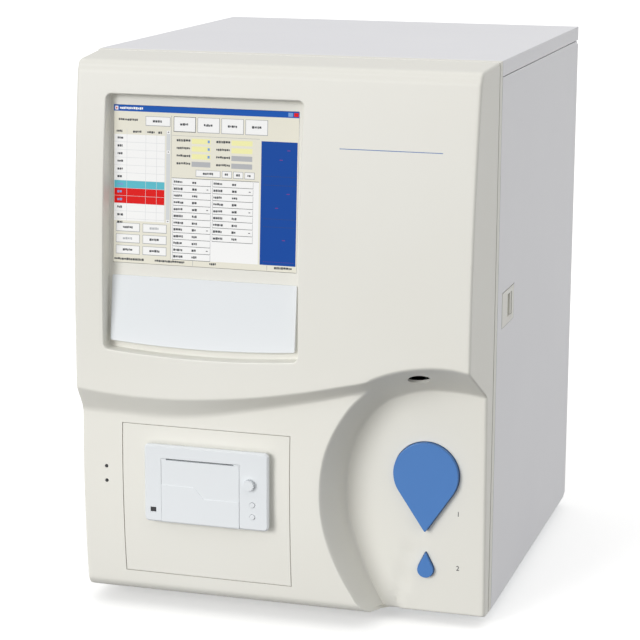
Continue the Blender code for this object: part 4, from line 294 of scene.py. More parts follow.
def pick(obj, kind, test):
    """Edit mode, with those vertices, edges or faces selected whose points all pass a test in millimetres."""
    if obj.mode == "OBJECT":
        edit(obj)
    bpy.ops.mesh.select_mode(type=kind)
    bpy.ops.mesh.select_all(action="DESELECT")
    form = bmesh.from_edit_mesh(obj.data)
    for part in {"VERT": form.verts, "EDGE": form.edges, "FACE": form.faces}[kind]:
        corners = [part] if kind == "VERT" else part.verts
        if all(test(*(corner.co / MM - Vector((0, SEAM_Y, FOOT)))) for corner in corners):
            part.select_set(True)
    form.select_flush_mode()
    bmesh.update_edit_mesh(obj.data)


def move(x=0.0, y=0.0, z=0.0):
    bpy.ops.transform.translate(value=(x * MM, y * MM, z * MM))


def draw_out(y):
    """The selected face drawn out along Y."""
    bpy.ops.mesh.extrude_region_move(TRANSFORM_OT_translate={"value": (0, y * MM, 0)})


def widen(share, centre):
    """The selection made wider across the front by a share, about a place."""
    bpy.ops.transform.resize(value=(share, 1, share), center_override=tuple(to_row([centre])[0]))


def finished(obj):
    """Back from edit mode, with the faces turned outwards."""
    bpy.ops.mesh.select_mode(type="FACE")
    bpy.ops.mesh.select_all(action="SELECT")
    bpy.ops.mesh.normals_make_consistent()
    bpy.ops.object.mode_set(mode="OBJECT")
    return obj


def node_copy(node, material):
    """A copy of a CAD node's mesh, with its triangles merged to flat faces."""
    source = frame["nodes"][node]
    form = bmesh.new()
    form.from_mesh(source.data)
    bmesh.ops.remove_doubles(form, verts=form.verts, dist=2e-5)
    bmesh.ops.dissolve_limit(form, angle_limit=math.radians(0.4), verts=form.verts, edges=form.edges)
    mesh = bpy.data.meshes.new(node + "_look")
    form.to_mesh(mesh)
    form.free()
    return piece(node + "_look", mesh, material, source["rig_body"], [node])


def refined(node, material, bevel):
    """A CAD node with its edges softened and its round faces smoothed."""
    return settle(node_copy(node, material), bevel)


def mesh_of(name, points, faces):
    """A mesh of points in millimetres of the case."""
    mesh = bpy.data.meshes.new(name)
    mesh.from_pydata([tuple(p) for p in to_row(points)], [], faces)
    return mesh


# Outlines across the front, as points (X, Z)


def spline(points, steps):
    """A smooth curve through the points, in so many steps from each to the next."""
    points = np.array([points[0], *points, points[-1]], float)
    t = np.arange(steps)[:, None] / steps
    curve = []
    for before, start, end, after in zip(points, points[1:], points[2:], points[3:]):
        bend = (2 * before - 5 * start + 4 * end - after) * t**2
        twist = (3 * start - before - 3 * end + after) * t**3
        curve += [*((2 * start + (end - before) * t + bend + twist) / 2)]
    return np.array([*curve, points[-1]])


def arc(centre, radius, start, end, steps):
    """Points along an arc, from one angle to the other."""
    angles = [start + (end - start) * step / steps for step in range(steps + 1)]
    return [(centre[0] + radius * math.cos(angle), centre[1] + radius * math.sin(angle)) for angle in angles]


def straight(start, end, steps):
    """Points along a line, without its end."""
    return [tuple(a + (b - a) * step / steps for a, b in zip(start, end)) for step in range(steps)]


def rectangle(box, grow=0.0, steps=1):
    low, high = (box[0] - grow, box[1] - grow), (box[2] + grow, box[3] + grow)
    corners = [low, (high[0], low[1]), high, (low[0], high[1])]
    return [point for n in range(4) for point in straight(corners[n], corners[(n + 1) % 4], steps)]


# Half of the case's width, and how far its sides draw in for each millimetre of depth over a band
HALF_WIDTH = 185.0
DRAFT = 0.0578
DRAFT_BAND = 20.0
# The upper face: its depth, how far its top leans back, and the heights where that starts and ends
FACE_DEPTH = 85.0
FACE_LEAN = 21.0
LEAN_START = 245.0
FACE_TOP = 490.9
# The lower face: its depth half way up, how far that falls back at its ends, and its middle
LOWER_DEPTH = 70.0
LOWER_FALL = 9.0
LOWER_MIDDLE = 125.0
# The ledge: its upper and lower edge at each X, its depth at the lower one, its rise and its softness
LEDGE = spline(
    [
        (-200, 201.5, 177.6), (-180, 199.7, 177.2), (-144, 196.3, 176.6), (-105, 195.3, 175.7),
        (-67, 196.9, 179.0), (-17, 202.2, 188.8), (32.6, 210.9, 200.0), (64.4, 218.2, 208.3),
        (98.4, 226.0, 217.5),
    ],
    12,
)
LEDGE_DEPTH = 69.0
LEDGE_RISE = 16.0
LEDGE_EDGE = 1.6
# The sample well: where its wall has its outer and its inner depth, and how soft its edges are
WELL_OUTER = spline(
    [
        (96.3, -12), (77.0, 14.7), (59.1, 47.7), (46.2, 89.2), (44.9, 131.3), (52.6, 163.9), (68.6, 194.0),
        (86.4, 213.0), (104.7, 222.9), (128.7, 229.4), (154.0, 231.6), (180.2, 229.2), (201.9, 225.3),
        (269.5, 212),
    ],
    14,
)
WELL_INNER = spline(
    [
        (97.0, -12), (79.5, 19.5), (65.3, 53.0), (56.9, 83.1), (55.5, 120.5), (61.8, 152.3), (75.9, 178.8),
        (91.8, 194.0), (107.6, 201.5), (128.7, 206.5), (152.6, 207.3), (181.8, 204.6), (201.9, 202.4),
        (269.5, 195),
    ],
    14,
)
OUTER_DEPTH = 69.0
INNER_DEPTH = 27.0
WELL_RISE = OUTER_DEPTH - INNER_DEPTH
WELL_EDGE = 2.2
WELL_CREASE = 2.4
# The well's middle, the angle at the foot of its outline, and its back, which leans
WELL_CENTRE = np.array((130.1, 109.9))
WELL_FOOT = -104
BACK_DEPTH = 23.3
BACK_LEAN = 0.0277
# The screen and its bay: corners, roundness, sag of the lower edge, lean of the floor, and round edges
SCREEN_BOX = (-149.5, 313.0, 20.7, 452.0)
BAY_BOX = (-153.0, 233.2, 27.4, 462.5)
BAY_CORNER = 5.0
BAY_SAG = 4.5
BAY_DEPTH = 59.0
BAY_LEAN = 0.0576
BAY_RIM = 1.2
BAY_CREASE = 1.0
# Round edges of the sides and of the underside where the front is shallow and deep, the lift of the deep
# part, and the depths that count as shallow and deep
SIDE_ROUND = 3.0
BOTTOM_ROUND = 2.0
BOTTOM_ROUND_DEEP = 15.0
BOTTOM_LIFT = 4.0
FOOT_FACE = (24.0, 62.0)
# The top: depth of its front edge, height where the round edge starts, height at the seam, depth where
# the round edge ends, fall to the front, and the shell's rear edge and wall
BROW_DEPTH = FACE_DEPTH - FACE_LEAN
TOP_START = 482.9
SEAM_TOP = 495.4
CROWN_END = 56.0
TOP_FALL = 4.5
SHELL_REAR = 10.3
SHELL_WALL = 2.6
# Apertures: each push button's radius, length to the tip, height, whether the tip points upwards, radius
# of the tip, and depth of its face; the printer's panel; the lights; the probe's bore and where it comes out
BUTTON_X = 129.9
BUTTONS = {
    "start_button": ((29.7, 53.3, 130.3, False, 1.0), 32.0),
    "dilute_button": ((7.3, 16.6, 41.1, True, 0.6), 28.5),
}
APERTURE_GAP = 0.6
PANEL_BOX = (-142.0, 26.0, 15.5, 166.0)
LIGHTS = ((-158, 124.6), (-158, 111.0))
LIGHT_RADIUS = 1.7
PROBE_DEPTH = 60.0
PROBE_BORE = 10.0
MOUTH_HEIGHTS = (204.0, 245.0)
# Spacing of the free points of the face, and how near they may come to its lines
GRID = 6.5
GRID_GAP = 2.2


def bay_outline(grow):
    """The bay, counterclockwise, with round corners, its lower edge sagging in the middle."""
    first, *others = rectangle(BAY_BOX, -BAY_CORNER)
    radius, quarter = BAY_CORNER + grow, math.pi / 2
    centres = enumerate([*others, first])
    corners = [arc(centre, radius, (n - 1) * quarter, n * quarter, 10) for n, centre in centres]
    points = []
    for corner, following in zip(corners, [*corners[1:], corners[0]]):
        points += corner[:-1] + straight(corner[-1], following[0], 24)
    left, bottom, right, top = BAY_BOX
    middle, half, height = (left + right) / 2, (right - left) / 2 + grow, top - bottom + 2 * grow
    return [(x, z + BAY_SAG * ((x - middle) / half) ** 2 * (top + grow - z) / height) for x, z in points]


def drop(radius, tip, z, upwards, tip_radius):
    """The hole for a push button: a circle and the two lines to a tip, the tip itself a little rounded."""
    half_angle = math.asin(radius / tip)
    side = 1 if upwards else -1
    touch = math.pi / 2 - half_angle
    first = side * math.pi / 2
    tip_centre = (BUTTON_X, z + side * (tip - tip_radius / math.sin(half_angle)))
    return [
        *arc(tip_centre, tip_radius + APERTURE_GAP, first - touch, first + touch, 8),
        *arc((BUTTON_X, z), radius + APERTURE_GAP, first + touch, first - touch + 2 * math.pi, 64),
    ]


# The moulded front, as depth in front of the seam for each place (X, Z)


def bearing(x, z):
    """Degrees round the well's middle, counted on from the foot of its outline."""
    angle = np.degrees(np.arctan2(z - WELL_CENTRE[1], x - WELL_CENTRE[0]))
    return np.where(angle < WELL_FOOT, angle + 360, angle)


def distance(x, z):
    """Millimetres from the well's middle."""
    return np.hypot(x - WELL_CENTRE[0], z - WELL_CENTRE[1])


def polar(outline):
    """An outline of the well as its bearings, in order, and the distances there."""
    x, z = outline[:, 0], outline[:, 1]
    angle = bearing(x, z)
    order = np.argsort(angle)
    return angle[order], distance(x, z)[order]


OUTER_ANGLE, OUTER_RADIUS = polar(WELL_OUTER)
INNER_ANGLE, INNER_RADIUS = polar(WELL_INNER)


def soft_min(a, b, k):
    return np.minimum(a, b) - np.maximum(k - np.abs(a - b), 0) ** 2 / (4 * k)


def soft_max(a, b, k):
    return -soft_min(-a, -b, k)


def face_depth(z):
    rise = np.clip((z - LEAN_START) / (FACE_TOP - LEAN_START), 0, None)
    return FACE_DEPTH - FACE_LEAN * rise**2


def well_back(z):
    return BACK_DEPTH + BACK_LEAN * z


def bay_depth(z):
    return BAY_DEPTH + BAY_LEAN * (SCREEN_BOX[3] - z)


def top_height(depth):
    return SEAM_TOP - TOP_FALL * depth / BROW_DEPTH


def fronts(x, z, soft=True):
    """Depth of the surface round the well, depth of the well's wall, and that wall's slope."""
    upper = np.interp(x, LEDGE[:, 0], LEDGE[:, 1])
    lower = np.interp(x, LEDGE[:, 0], LEDGE[:, 2])
    slope = LEDGE_RISE / (upper - lower)
    ledge = LEDGE_DEPTH + (z - lower) * slope
    low = LOWER_DEPTH - LOWER_FALL * ((z - LOWER_MIDDLE) / LOWER_MIDDLE) ** 2
    k = slope * (LEDGE_EDGE if soft else 0.01)
    around = soft_min(face_depth(z), soft_max(low, ledge, 2.5 * k), k)
    angle = bearing(x, z)
    far = np.interp(angle, OUTER_ANGLE, OUTER_RADIUS)
    near = np.interp(angle, INNER_ANGLE, INNER_RADIUS)
    steep = WELL_RISE / np.maximum(far - near, 1.5)
    wall = INNER_DEPTH + (distance(x, z) - near) * steep
    return around, wall, steep


def depth_at(x, z):
    """Depth of the whole front: the faces, the ledge and the well."""
    around, wall, steep = fronts(x, z)
    well = soft_max(well_back(z), wall, steep * WELL_CREASE)
    return soft_min(around, well, steep * WELL_EDGE)


def mouth_outline():
    """Where the upright bore of the probe meets the slanted ceiling of the well."""
    points = []
    for x, depth in arc((BUTTON_X, PROBE_DEPTH), PROBE_BORE, 0, -2 * math.pi, 40)[:-1]:
        low, high = MOUTH_HEIGHTS
        for _ in range(30):
            middle = (low + high) / 2
            if depth_at(x, middle) < depth:
                low = middle
            else:
                high = middle
        points.append((x, low))
    return points


def inside(points, outline):
    """Which points lie inside a closed outline."""
    outline = np.asarray(outline)
    hit = np.zeros(len(points), bool)
    for a, b in zip(outline, np.roll(outline, -1, axis=0)):
        crosses = (a[1] > points[:, 1]) != (b[1] > points[:, 1])
        if a[1] != b[1]:
            at = a[0] + (points[:, 1] - a[1]) / (b[1] - a[1]) * (b[0] - a[0])
            hit ^= crosses & (points[:, 0] < at)
    return hit


def fill(loops, lines, free, holes):
    """Triangles of a flat region: closed loops and open lines are kept as edges, and holes are left out."""
    points, edges = [], []
    for loop in loops:
        first = len(points)
        points += [tuple(p) for p in loop]
        edges += [(first + n, first + (n + 1) % len(loop)) for n in range(len(loop))]
    for line in lines:
        first = len(points)
        points += [tuple(p) for p in line]
        edges += [(first + n, first + n + 1) for n in range(len(line) - 1)]
    kept = np.array(points)
    kept = np.concatenate([kept, [(kept[a] + kept[b]) / 2 for a, b in edges]])
    for place in np.array(free):
        if np.hypot(*(kept - place).T).min() > GRID_GAP:
            points.append(tuple(place))
    found = delaunay_2d_cdt([Vector(p) for p in points], edges, [], 0, 1e-4)
    places = np.array([tuple(p) for p in found[0]])
    faces = np.array([tuple(f) for f in found[2]])
    centres = places[faces].mean(axis=1)
    return places, faces[~np.any([inside(centres, hole) for hole in holes], axis=0)]


def edge_loss(t, radius):
    """How far a round edge falls back at a distance t from where it starts."""
    t = np.clip(t, 0, radius)
    return radius - np.sqrt(np.maximum(radius**2 - t**2, 0))


def side_loss(x):
    """How far the round edge of a side falls back."""
    return edge_loss(np.abs(x) - HALF_WIDTH + SIDE_ROUND, SIDE_ROUND)


def drafted(x, depth):
    """A place across the front after the sides have drawn in."""
    ramp = np.clip((np.abs(x) - (HALF_WIDTH - DRAFT_BAND)) / DRAFT_BAND, 0, 1)
    return x - np.sign(x) * DRAFT * depth * ramp


def crown():
    """The profile above the face, as (depth, Z, normal), over the round top edge and back to the rear."""
    start, corner = (BROW_DEPTH, TOP_START), (BROW_DEPTH, FACE_TOP)
    end = (CROWN_END, top_height(CROWN_END))
    rows = []
    for step in range(1, 9):
        t = step / 8
        point = [(1 - t) ** 2 * a + 2 * t * (1 - t) * b + t**2 * c for a, b, c in zip(start, corner, end)]
        lean = math.radians(86 * t)
        rows.append((*point, math.cos(lean), math.sin(lean)))
    return rows + [(depth, top_height(depth), 0.07, 0.997) for depth in (48.0, 36.0, 24.0, 15.0, SHELL_REAR)]


def on_wall(depth):
    """The line round the well where its wall has these depths."""
    return WELL_INNER + (depth[:, None] - INNER_DEPTH) / WELL_RISE * (WELL_OUTER - WELL_INNER)


def bend_lines():
    """Lines for the triangles to follow, side by side along each bend of the ledge and of the well."""
    ledge = LEDGE[LEDGE[:, 0] >= -HALF_WIDTH]
    upper, lower = ledge[ledge[:, 0] < 97, :2], ledge[ledge[:, 0] < 84, ::2]
    lines = [upper + (0, offset) for offset in (-1.6, -0.8, 0, 0.8, 1.6)]
    lines += [lower + (0, offset) for offset in (-4.0, -2.4, -1.2, 0, 1.2, 2.4, 4.0)]
    span = WELL_OUTER - WELL_INNER
    along = span / np.maximum(np.hypot(span[:, 0], span[:, 1])[:, None], 0.5)
    edge = np.full(len(span), OUTER_DEPTH)
    crease = np.full(len(span), INNER_DEPTH)
    for _ in range(6):
        at = on_wall(edge)
        edge = fronts(at[:, 0], at[:, 1], False)[0]
        crease = well_back(on_wall(crease)[:, 1])
    lines += [on_wall(edge) + offset * along for offset in (-2.4, -1.6, -0.8, 0, 0.8, 1.6, 2.4)]
    lines += [on_wall(crease) + offset * along for offset in (-2.8, -1.9, -1.2, -0.6, 0, 0.6, 1.2, 1.9, 2.8)]
    return lines


def runs_inside(line):
    """The runs of a line that lie within the face's border."""
    good = (np.abs(line[:, 0]) < HALF_WIDTH - 0.05) & (line[:, 1] > 0.05) & (line[:, 1] < TOP_START - 1)
    runs = [[]]
    for point, ok in zip(line, good):
        if ok:
            runs[-1].append(tuple(point))
        elif runs[-1]:
            runs.append([])
    return [run for run in runs if len(run) > 1]


def front_skin():
    """The visible face as flat places, points and faces, with its round edges and its apertures."""
    holes = [bay_outline(BAY_RIM), *[drop(*shape) for shape, _ in BUTTONS.values()]]
    holes.append(rectangle(PANEL_BOX, APERTURE_GAP, 24))
    holes += [arc(light, LIGHT_RADIUS, 0, 2 * math.pi, 16)[:-1] for light in LIGHTS]
    holes.append(mouth_outline())
    lines = [run for line in bend_lines() for run in runs_inside(line)]
    rises = np.concatenate([np.arange(0, TOP_START, 6.0), [TOP_START]])
    for inset in (SIDE_ROUND, 2.0, 1.2, 0.5, 0.12):
        for side in (-1, 1):
            lines.append([(side * (HALF_WIDTH - inset), z) for z in rises])
    widths = np.concatenate([[-HALF_WIDTH], np.arange(-180, 180.1, 6.0), [HALF_WIDTH]])
    for rise in (0.1, 0.5, 1.2, BOTTOM_ROUND, 3.2, 4.8, 7.0, 9.6, 12.4, BOTTOM_ROUND_DEEP):
        lines.append([(x, rise) for x in widths])
    border = [(x, 0) for x in widths[:-1]] + [(HALF_WIDTH, z) for z in rises[:-1]]
    border += [(x, TOP_START) for x in widths[:0:-1]] + [(-HALF_WIDTH, z) for z in rises[:0:-1]]
    free = [(x, z) for x in np.arange(-178, 180, GRID) for z in np.arange(5, 480, GRID)]
    places, faces = fill([border, *holes], lines, free, holes)

    x, z = places[:, 0], places[:, 1]
    depth = depth_at(x, z)
    share = np.clip((depth - FOOT_FACE[0]) / (FOOT_FACE[1] - FOOT_FACE[0]), 0, 1)
    foot = BOTTOM_ROUND + (BOTTOM_ROUND_DEEP - BOTTOM_ROUND) * share
    depth = depth - side_loss(x) - edge_loss(foot - z, foot)
    lift = BOTTOM_LIFT * share * np.clip(1 - z / BOTTOM_ROUND_DEEP, 0, 1)
    points = np.column_stack([drafted(x, depth), -depth, z + lift])
    return places, [tuple(p) for p in points], [tuple(f) for f in faces]


def on_edge(flat, axis, value):
    """The points along one straight edge of the face, in order."""
    found = [n for n in range(len(flat)) if abs(flat[n][axis] - value) < 1e-3]
    return sorted(found, key=lambda n: flat[n][1 - axis])


def add_back(flat, points, faces):
    """Adds what lies behind the face: the round top edge, the top, both sides and the underside."""
    rows = [on_edge(flat, 1, TOP_START)]
    for depth, z, out_y, out_z in crown():
        row = []
        for n in rows[0]:
            x = flat[n][0]
            loss = side_loss(x)
            d = depth - loss * out_y
            row.append(len(points))
            points.append((drafted(x, d), -d, z - loss * out_z))
        rows.append(row)
    for low, high in zip(rows, rows[1:]):
        faces += [(low[n], low[n + 1], high[n + 1], high[n]) for n in range(len(low) - 1)]
    corners = []
    for side in (-1, 1):
        edge = on_edge(flat, 0, side * HALF_WIDTH)
        edge += [row[-1 if side > 0 else 0] for row in rows[1:]]
        corners.append(len(points))
        edge.append(len(points))
        points.append((side * (HALF_WIDTH - DRAFT * SHELL_REAR), -SHELL_REAR, 0))
        faces.append(tuple(edge[::side]))
    faces.append(tuple([*reversed(on_edge(flat, 1, 0)), *corners]))


def add_bay(points, faces):
    """Adds the round rim, the walls and the floor of the screen bay, with a window for the screen."""
    turns = [math.radians(90 * step / 4) for step in range(5)]
    shares = [(1 - math.cos(turn), 1 - math.sin(turn)) for turn in turns]
    rings = []
    for back, out in shares:
        ring = bay_outline(BAY_RIM * out)
        rings.append([(x, BAY_RIM * back - face_depth(z), z) for x, z in ring])
    for back, out in shares:
        ring = bay_outline(-BAY_CREASE * back)
        rings.append([(x, -bay_depth(z) - BAY_CREASE * out, z) for x, z in ring])
    count = len(rings[0])
    for start in range(len(points), len(points) + count * (len(rings) - 1), count):
        sides = [(start + n, start + (n + 1) % count) for n in range(count)]
        faces += [(a, b, b + count, a + count) for a, b in sides]
    for ring in rings:
        points += ring
    window = rectangle(SCREEN_BOX, 0.3, 16)
    edge = bay_outline(-BAY_CREASE)
    free = [(x, z) for x in np.arange(-148, 24, 12) for z in np.arange(240, 312, 12)]
    places, flats = fill([edge, window], [], free, [window])
    keep = inside(places[flats].mean(axis=1), edge)
    base = len(points)
    points += [(x, -bay_depth(z), z) for x, z in places]
    faces += [tuple(base + n for n in f) for f in flats[keep]]


def front_shell():
    """The moulded front as one wall of even thickness, open to the rear."""
    flat, points, faces = front_skin()
    add_back(flat, points, faces)
    add_bay(points, faces)
    mesh = mesh_of("front_shell_look", points, faces)
    obj = piece("front_shell_look", mesh, SHELL, nodes=["front_shell"])
    edit(obj)
    bpy.ops.mesh.select_all(action="SELECT")
    bpy.ops.mesh.remove_doubles(threshold=2e-6)
    finished(obj)
    if min(mesh.polygons, key=lambda face: face.center.y).normal.y > 0:
        mesh.flip_normals()
    return settle(obj, solid=SHELL_WALL)


# Screen

# Colours of its tiles, how far they lie behind the bay's floor, how much each level stands up, and where
# the glass slab behind them starts and ends
PALETTE = {
    "cream": "#EDEADB", "white": "#FBFBFA", "title": "#1F5BB5", "deep": "#1B4DA2", "cyan": "#62C0CF",
    "red": "#E3201F", "yellow": "#F7F4B4", "grey": "#B9BBBE", "line": "#A9ABAD", "dark": "#4A4C50",
    "pale": "#D9DCDD", "light": "#7FA6DC", "rose": "#7A3F86",
}
TILE_BACK = 0.45
TILE_LEVEL = 0.012
SLAB_FRONT = 0.6
SLAB_REAR = 2.9


def words(u, v, width, seed, colour="dark", level=4):
    """A run of short plain marks, as tiles: corners in hundredths of the screen, colour and level."""
    tiles = []
    at, n = u, seed
    while at < u + width - 0.6:
        n = (n * 37 + 11) % 101
        size = 0.55 + (n % 5) * 0.16
        top, end = v + (n % 3) * 0.12, min(at + size, u + width)
        tiles.append((at, top, end, v + 1.5 - (n % 2) * 0.2, colour, level))
        at += size + 0.22
    return tiles


def button(u0, v0, u1, v1, seed, edge="line", ink="dark"):
    """A button of the screen: its edge, its white middle and a run of marks."""
    width = (u1 - u0) * 0.42
    return [
        (u0, v0, u1, v1, edge, 3), (u0 + 0.25, v0 + 0.3, u1 - 0.3, v1 - 0.4, "white", 4),
        *words((u0 + u1 - width) / 2, (v0 + v1) / 2 - 0.8, width, seed, ink, 5),
    ]


def title_tiles():
    return [
        (0, 0, 100, 100, "cream", 1), (0, 0, 100, 3.9, "title", 2), (0.6, 0.8, 2.3, 3.2, "white", 3),
        (1.1, 1.4, 1.8, 2.6, "red", 4), *words(3.2, 1.2, 13, 5, "white", 3),
        (94.2, 0.8, 96.6, 3.2, "light", 3), (97.2, 0.8, 99.6, 3.2, "red", 3), *words(2.6, 8.4, 10.5, 3),
        *button(17.4, 6.6, 31.0, 12.6, 8),
    ]


def list_tiles():
    """The list at the left with its coloured rows, its grid, its scroll bar and the buttons below it."""
    tiles = []
    for u, width, seed in ((1.4, 4.0, 2), (10.5, 4.6, 7), (18.4, 4.2, 9), (24.4, 2.4, 4)):
        tiles += words(u, 15.8, width, seed)
    tiles.append((0.3, 18.5, 28.2, 73.2, "white", 2))
    for row in range(12):
        v = 18.5 + 4.86 * row
        if row in (6, 7, 8):
            tiles.append((0.3, v, 28.0, v + 4.86, "cyan" if row == 6 else "red", 3))
        tiles += words(2.0, v + 1.6, 3.2, 3 + row, "light" if row in (6, 7, 8) else "dark", 5)
        if row:
            tiles.append((0.3, v - 0.09, 28.2, v + 0.09, "pale", 4))
    tiles += [(u - 0.08, 15, u + 0.08, 73.2, "pale", 4) for u in (7.2, 17.6, 23.6, 28.1)]
    tiles.append((28.9, 15.2, 31.0, 73.2, "pale", 2))
    for v in (15.2, 27.6, 71.4):
        tiles += [(29.1, v, 30.8, v + 1.9, "white", 3), (29.6, v + 0.6, 30.3, v + 1.2, "dark", 4)]
    for n in range(6):
        u, v = 1.4 + 14.8 * (n % 2), 74.6 + 7.2 * (n // 2)
        tiles += button(u, v, u + 13.2, v + 5.6, 5 + 3 * n, "line", "grey" if n in (1, 2) else "dark")
    return tiles


def entry_tiles():
    """The row of buttons at the top, the yellow and grey entries below it and their small buttons."""
    tiles = [(31.5, 5.6, 31.7, 96.3, "line", 2)]
    for n in range(4):
        u = 32.8 + 12.9 * n
        tiles += button(u, 6.0, u + 12.0, 15.6, 11 + n, "dark" if n == 0 else "line")
    tiles.append((32.0, 17.8, 79.2, 18.0, "line", 2))
    for column, width in ((34.5, 18.4), (56.0, 19.4)):
        for row in range(4):
            v = 19.4 + 4.8 * row
            tiles += words(column, v + 0.6, 7.4, 4 + row)
            grey = row == 3 or (column > 50 and row == 2)
            tiles.append((column + 8.2, v, column + width, v + 3.2, "grey" if grey else "yellow", 2))
            if not grey and column < 50:
                tiles.append((column + 16.8, v + 0.7, column + 18.0, v + 2.4, "light", 3))
    tiles += button(45.0, 38.8, 58.4, 43.2, 7)
    for n in range(3):
        tiles += button(59.2 + 6.1 * n, 38.8, 64.6 + 6.1 * n, 43.2, 3 + n)
    return tiles


def result_tiles():
    """The two columns of results, the blue chart beside them and the line of words at the bottom."""
    tiles = [(32.0, 44.4, 79.2, 44.7, "dark", 2), (32.0, 44.7, 79.2, 96.2, "white", 2)]
    for column, rows, width in ((32.6, 12, 20.8), (54.2, 9, 22.0)):
        for row in range(rows):
            v = 45.2 + 4.3 * row
            end = column + width
            tiles += [(column, v + 3.6, end, v + 3.9, "dark", 3), (end - 0.2, v, end, v + 3.9, "line", 3)]
            tiles.append((column, v, column + 0.2, v + 3.9, "line", 3))
            tiles += words(column + 0.6, v + 1.0, 5.2, 3 + row) + words(column + 10.6, v + 1.0, 2.8, 7 + row)
            if row % 3 == 1:
                tiles.append((end - 2.4, v + 1.4, end - 1.4, v + 1.9, "dark", 4))
    tiles.append((80.2, 19.0, 99.4, 96.2, "deep", 2))
    for v in (40.5, 46.0, 67.0, 72.0, 94.0):
        colour = "rose" if v > 90 else "dark"
        tiles += [(82 + n * 1.2, v, 82.6 + n * 1.2, v + 0.25, colour, 3) for n in range(14)]
    places = ((94, 24), (94, 51), (90, 30), (88, 60), (92, 80))
    tiles += [(u, v, u + 1.6, v + 0.5, "rose", 3) for u, v in places]
    for u, width, seed in ((0.6, 17, 6), (23.0, 17, 9), (53.0, 4, 5), (88.0, 10, 4)):
        tiles += words(u, 97.0, width, seed)
    return tiles + [(u, 96.4, u + 0.2, 99.6, "line", 3) for u in (43.8, 84.0)]


def screen():
    """The lit screen: a glass slab, and in front of it the thin tiles of its picture."""
    names = list(PALETTE)
    left, bottom, right, top = SCREEN_BOX
    points, faces, slots = [], [], []
    for u0, v0, u1, v1, colour, level in title_tiles() + list_tiles() + entry_tiles() + result_tiles():
        start = len(points)
        for lift in (0.0, TILE_LEVEL * level):
            for u, v in ((u0, v1), (u1, v1), (u1, v0), (u0, v0)):
                x, z = left + (right - left) * u / 100, top - (top - bottom) * v / 100
                points.append((x, TILE_BACK - lift - bay_depth(z), z))
        for quad in ((4, 5, 6, 7), (0, 1, 5, 4), (1, 2, 6, 5), (2, 3, 7, 6), (3, 0, 4, 7)):
            faces.append(tuple(start + n for n in quad))
            slots.append(names.index(colour))

    start = len(points)
    for offset in (SLAB_FRONT, SLAB_REAR):
        points += [(x, offset - bay_depth(z), z) for x, z in rectangle(SCREEN_BOX)]
    for quad in ((0, 1, 2, 3), (7, 6, 5, 4), (0, 4, 5, 1), (1, 5, 6, 2), (2, 6, 7, 3), (3, 7, 4, 0)):
        faces.append(tuple(start + n for n in quad))
        slots.append(names.index("dark"))
    mesh = mesh_of("touch_glass_look", points, faces)
    materials = [lit("screen_" + name, colour) for name, colour in PALETTE.items()]
    obj = piece("touch_glass_look", mesh, materials, nodes=["touch_glass"])
    mesh.polygons.foreach_set("material_index", slots)
    edit(obj)
    return finished(obj)


# Push buttons

# The rolled edge as a share of the tip's radius, the depths where the cap and its flange end, the flange's
# width as a share of the cap's, and the stem
ROLLED_SHARE = 0.8
CAP_SKIRT = 22.4
FLANGE_REAR = 19.2
FLANGE_SHARE = 1.05
STEM_WIDTH = 3.0
STEM_LENGTH = 8.0


def push_button(name, face, radius, tip, z, upwards, tip_radius):
    """A drop-shaped cap with a rolled edge, on its flange and stem, drawn out of one filled circle."""
    side = 1 if upwards else -1
    half_angle = math.asin(radius / tip)
    level = radius * math.cos(math.pi / 2 - half_angle)
    centre = (BUTTON_X, -face, z)
    obj = fresh(
        bpy.ops.mesh.primitive_circle_add, vertices=120, radius=radius * MM, fill_type="NGON",
        location=tuple(to_row([centre])[0]), rotation=(math.pi / 2, 0, 0),
    )
    pick(obj, "VERT", lambda x, y, h: side * (h - z) > level and abs(x - BUTTON_X) > 0.01)
    bpy.ops.mesh.dissolve_verts()
    pick(obj, "VERT", lambda x, y, h: side * (h - z) > radius - 0.01)
    move(z=side * (tip - radius))
    reach = tip_radius / math.tan(half_angle)
    bpy.ops.mesh.bevel(offset=reach * MM, segments=8, affect="VERTICES", clamp_overlap=False)
    pick(obj, "FACE", lambda x, y, h: True)
    draw_out(face - CAP_SKIRT)
    stem_share = STEM_WIDTH / radius / FLANGE_SHARE
    for share, depth in ((FLANGE_SHARE, CAP_SKIRT - FLANGE_REAR), (stem_share, STEM_LENGTH)):
        draw_out(0)
        widen(share, centre)
        draw_out(depth)
    pick(obj, "EDGE", lambda x, y, h: abs(y + face) < 0.01)
    bpy.ops.mesh.bevel(offset=ROLLED_SHARE * tip_radius * MM, segments=4, affect="EDGES")
    return settle(dressed(finished(obj), name + "_look", BLUE, name, [name]))


# Panel printer

# The body's corners, the depths of the bezel's front and of its flange's back, and how far the body is cut
# in behind that flange; the round lower edge of the door; the knob's place, grip and narrower front
PRINTER_LOW = (-118.5, 79.0)
PRINTER_HIGH = (-1.5, 151.0)
BEZEL_FRONT = 78.0
FLANGE_BACK = 74.0
UNDERCUT = 2.4
DOOR_ROUND = 1.7
KNOB = (-18.9, 121.5)
KNOB_GRIP = 5.0
KNOB_TAPER = 0.9


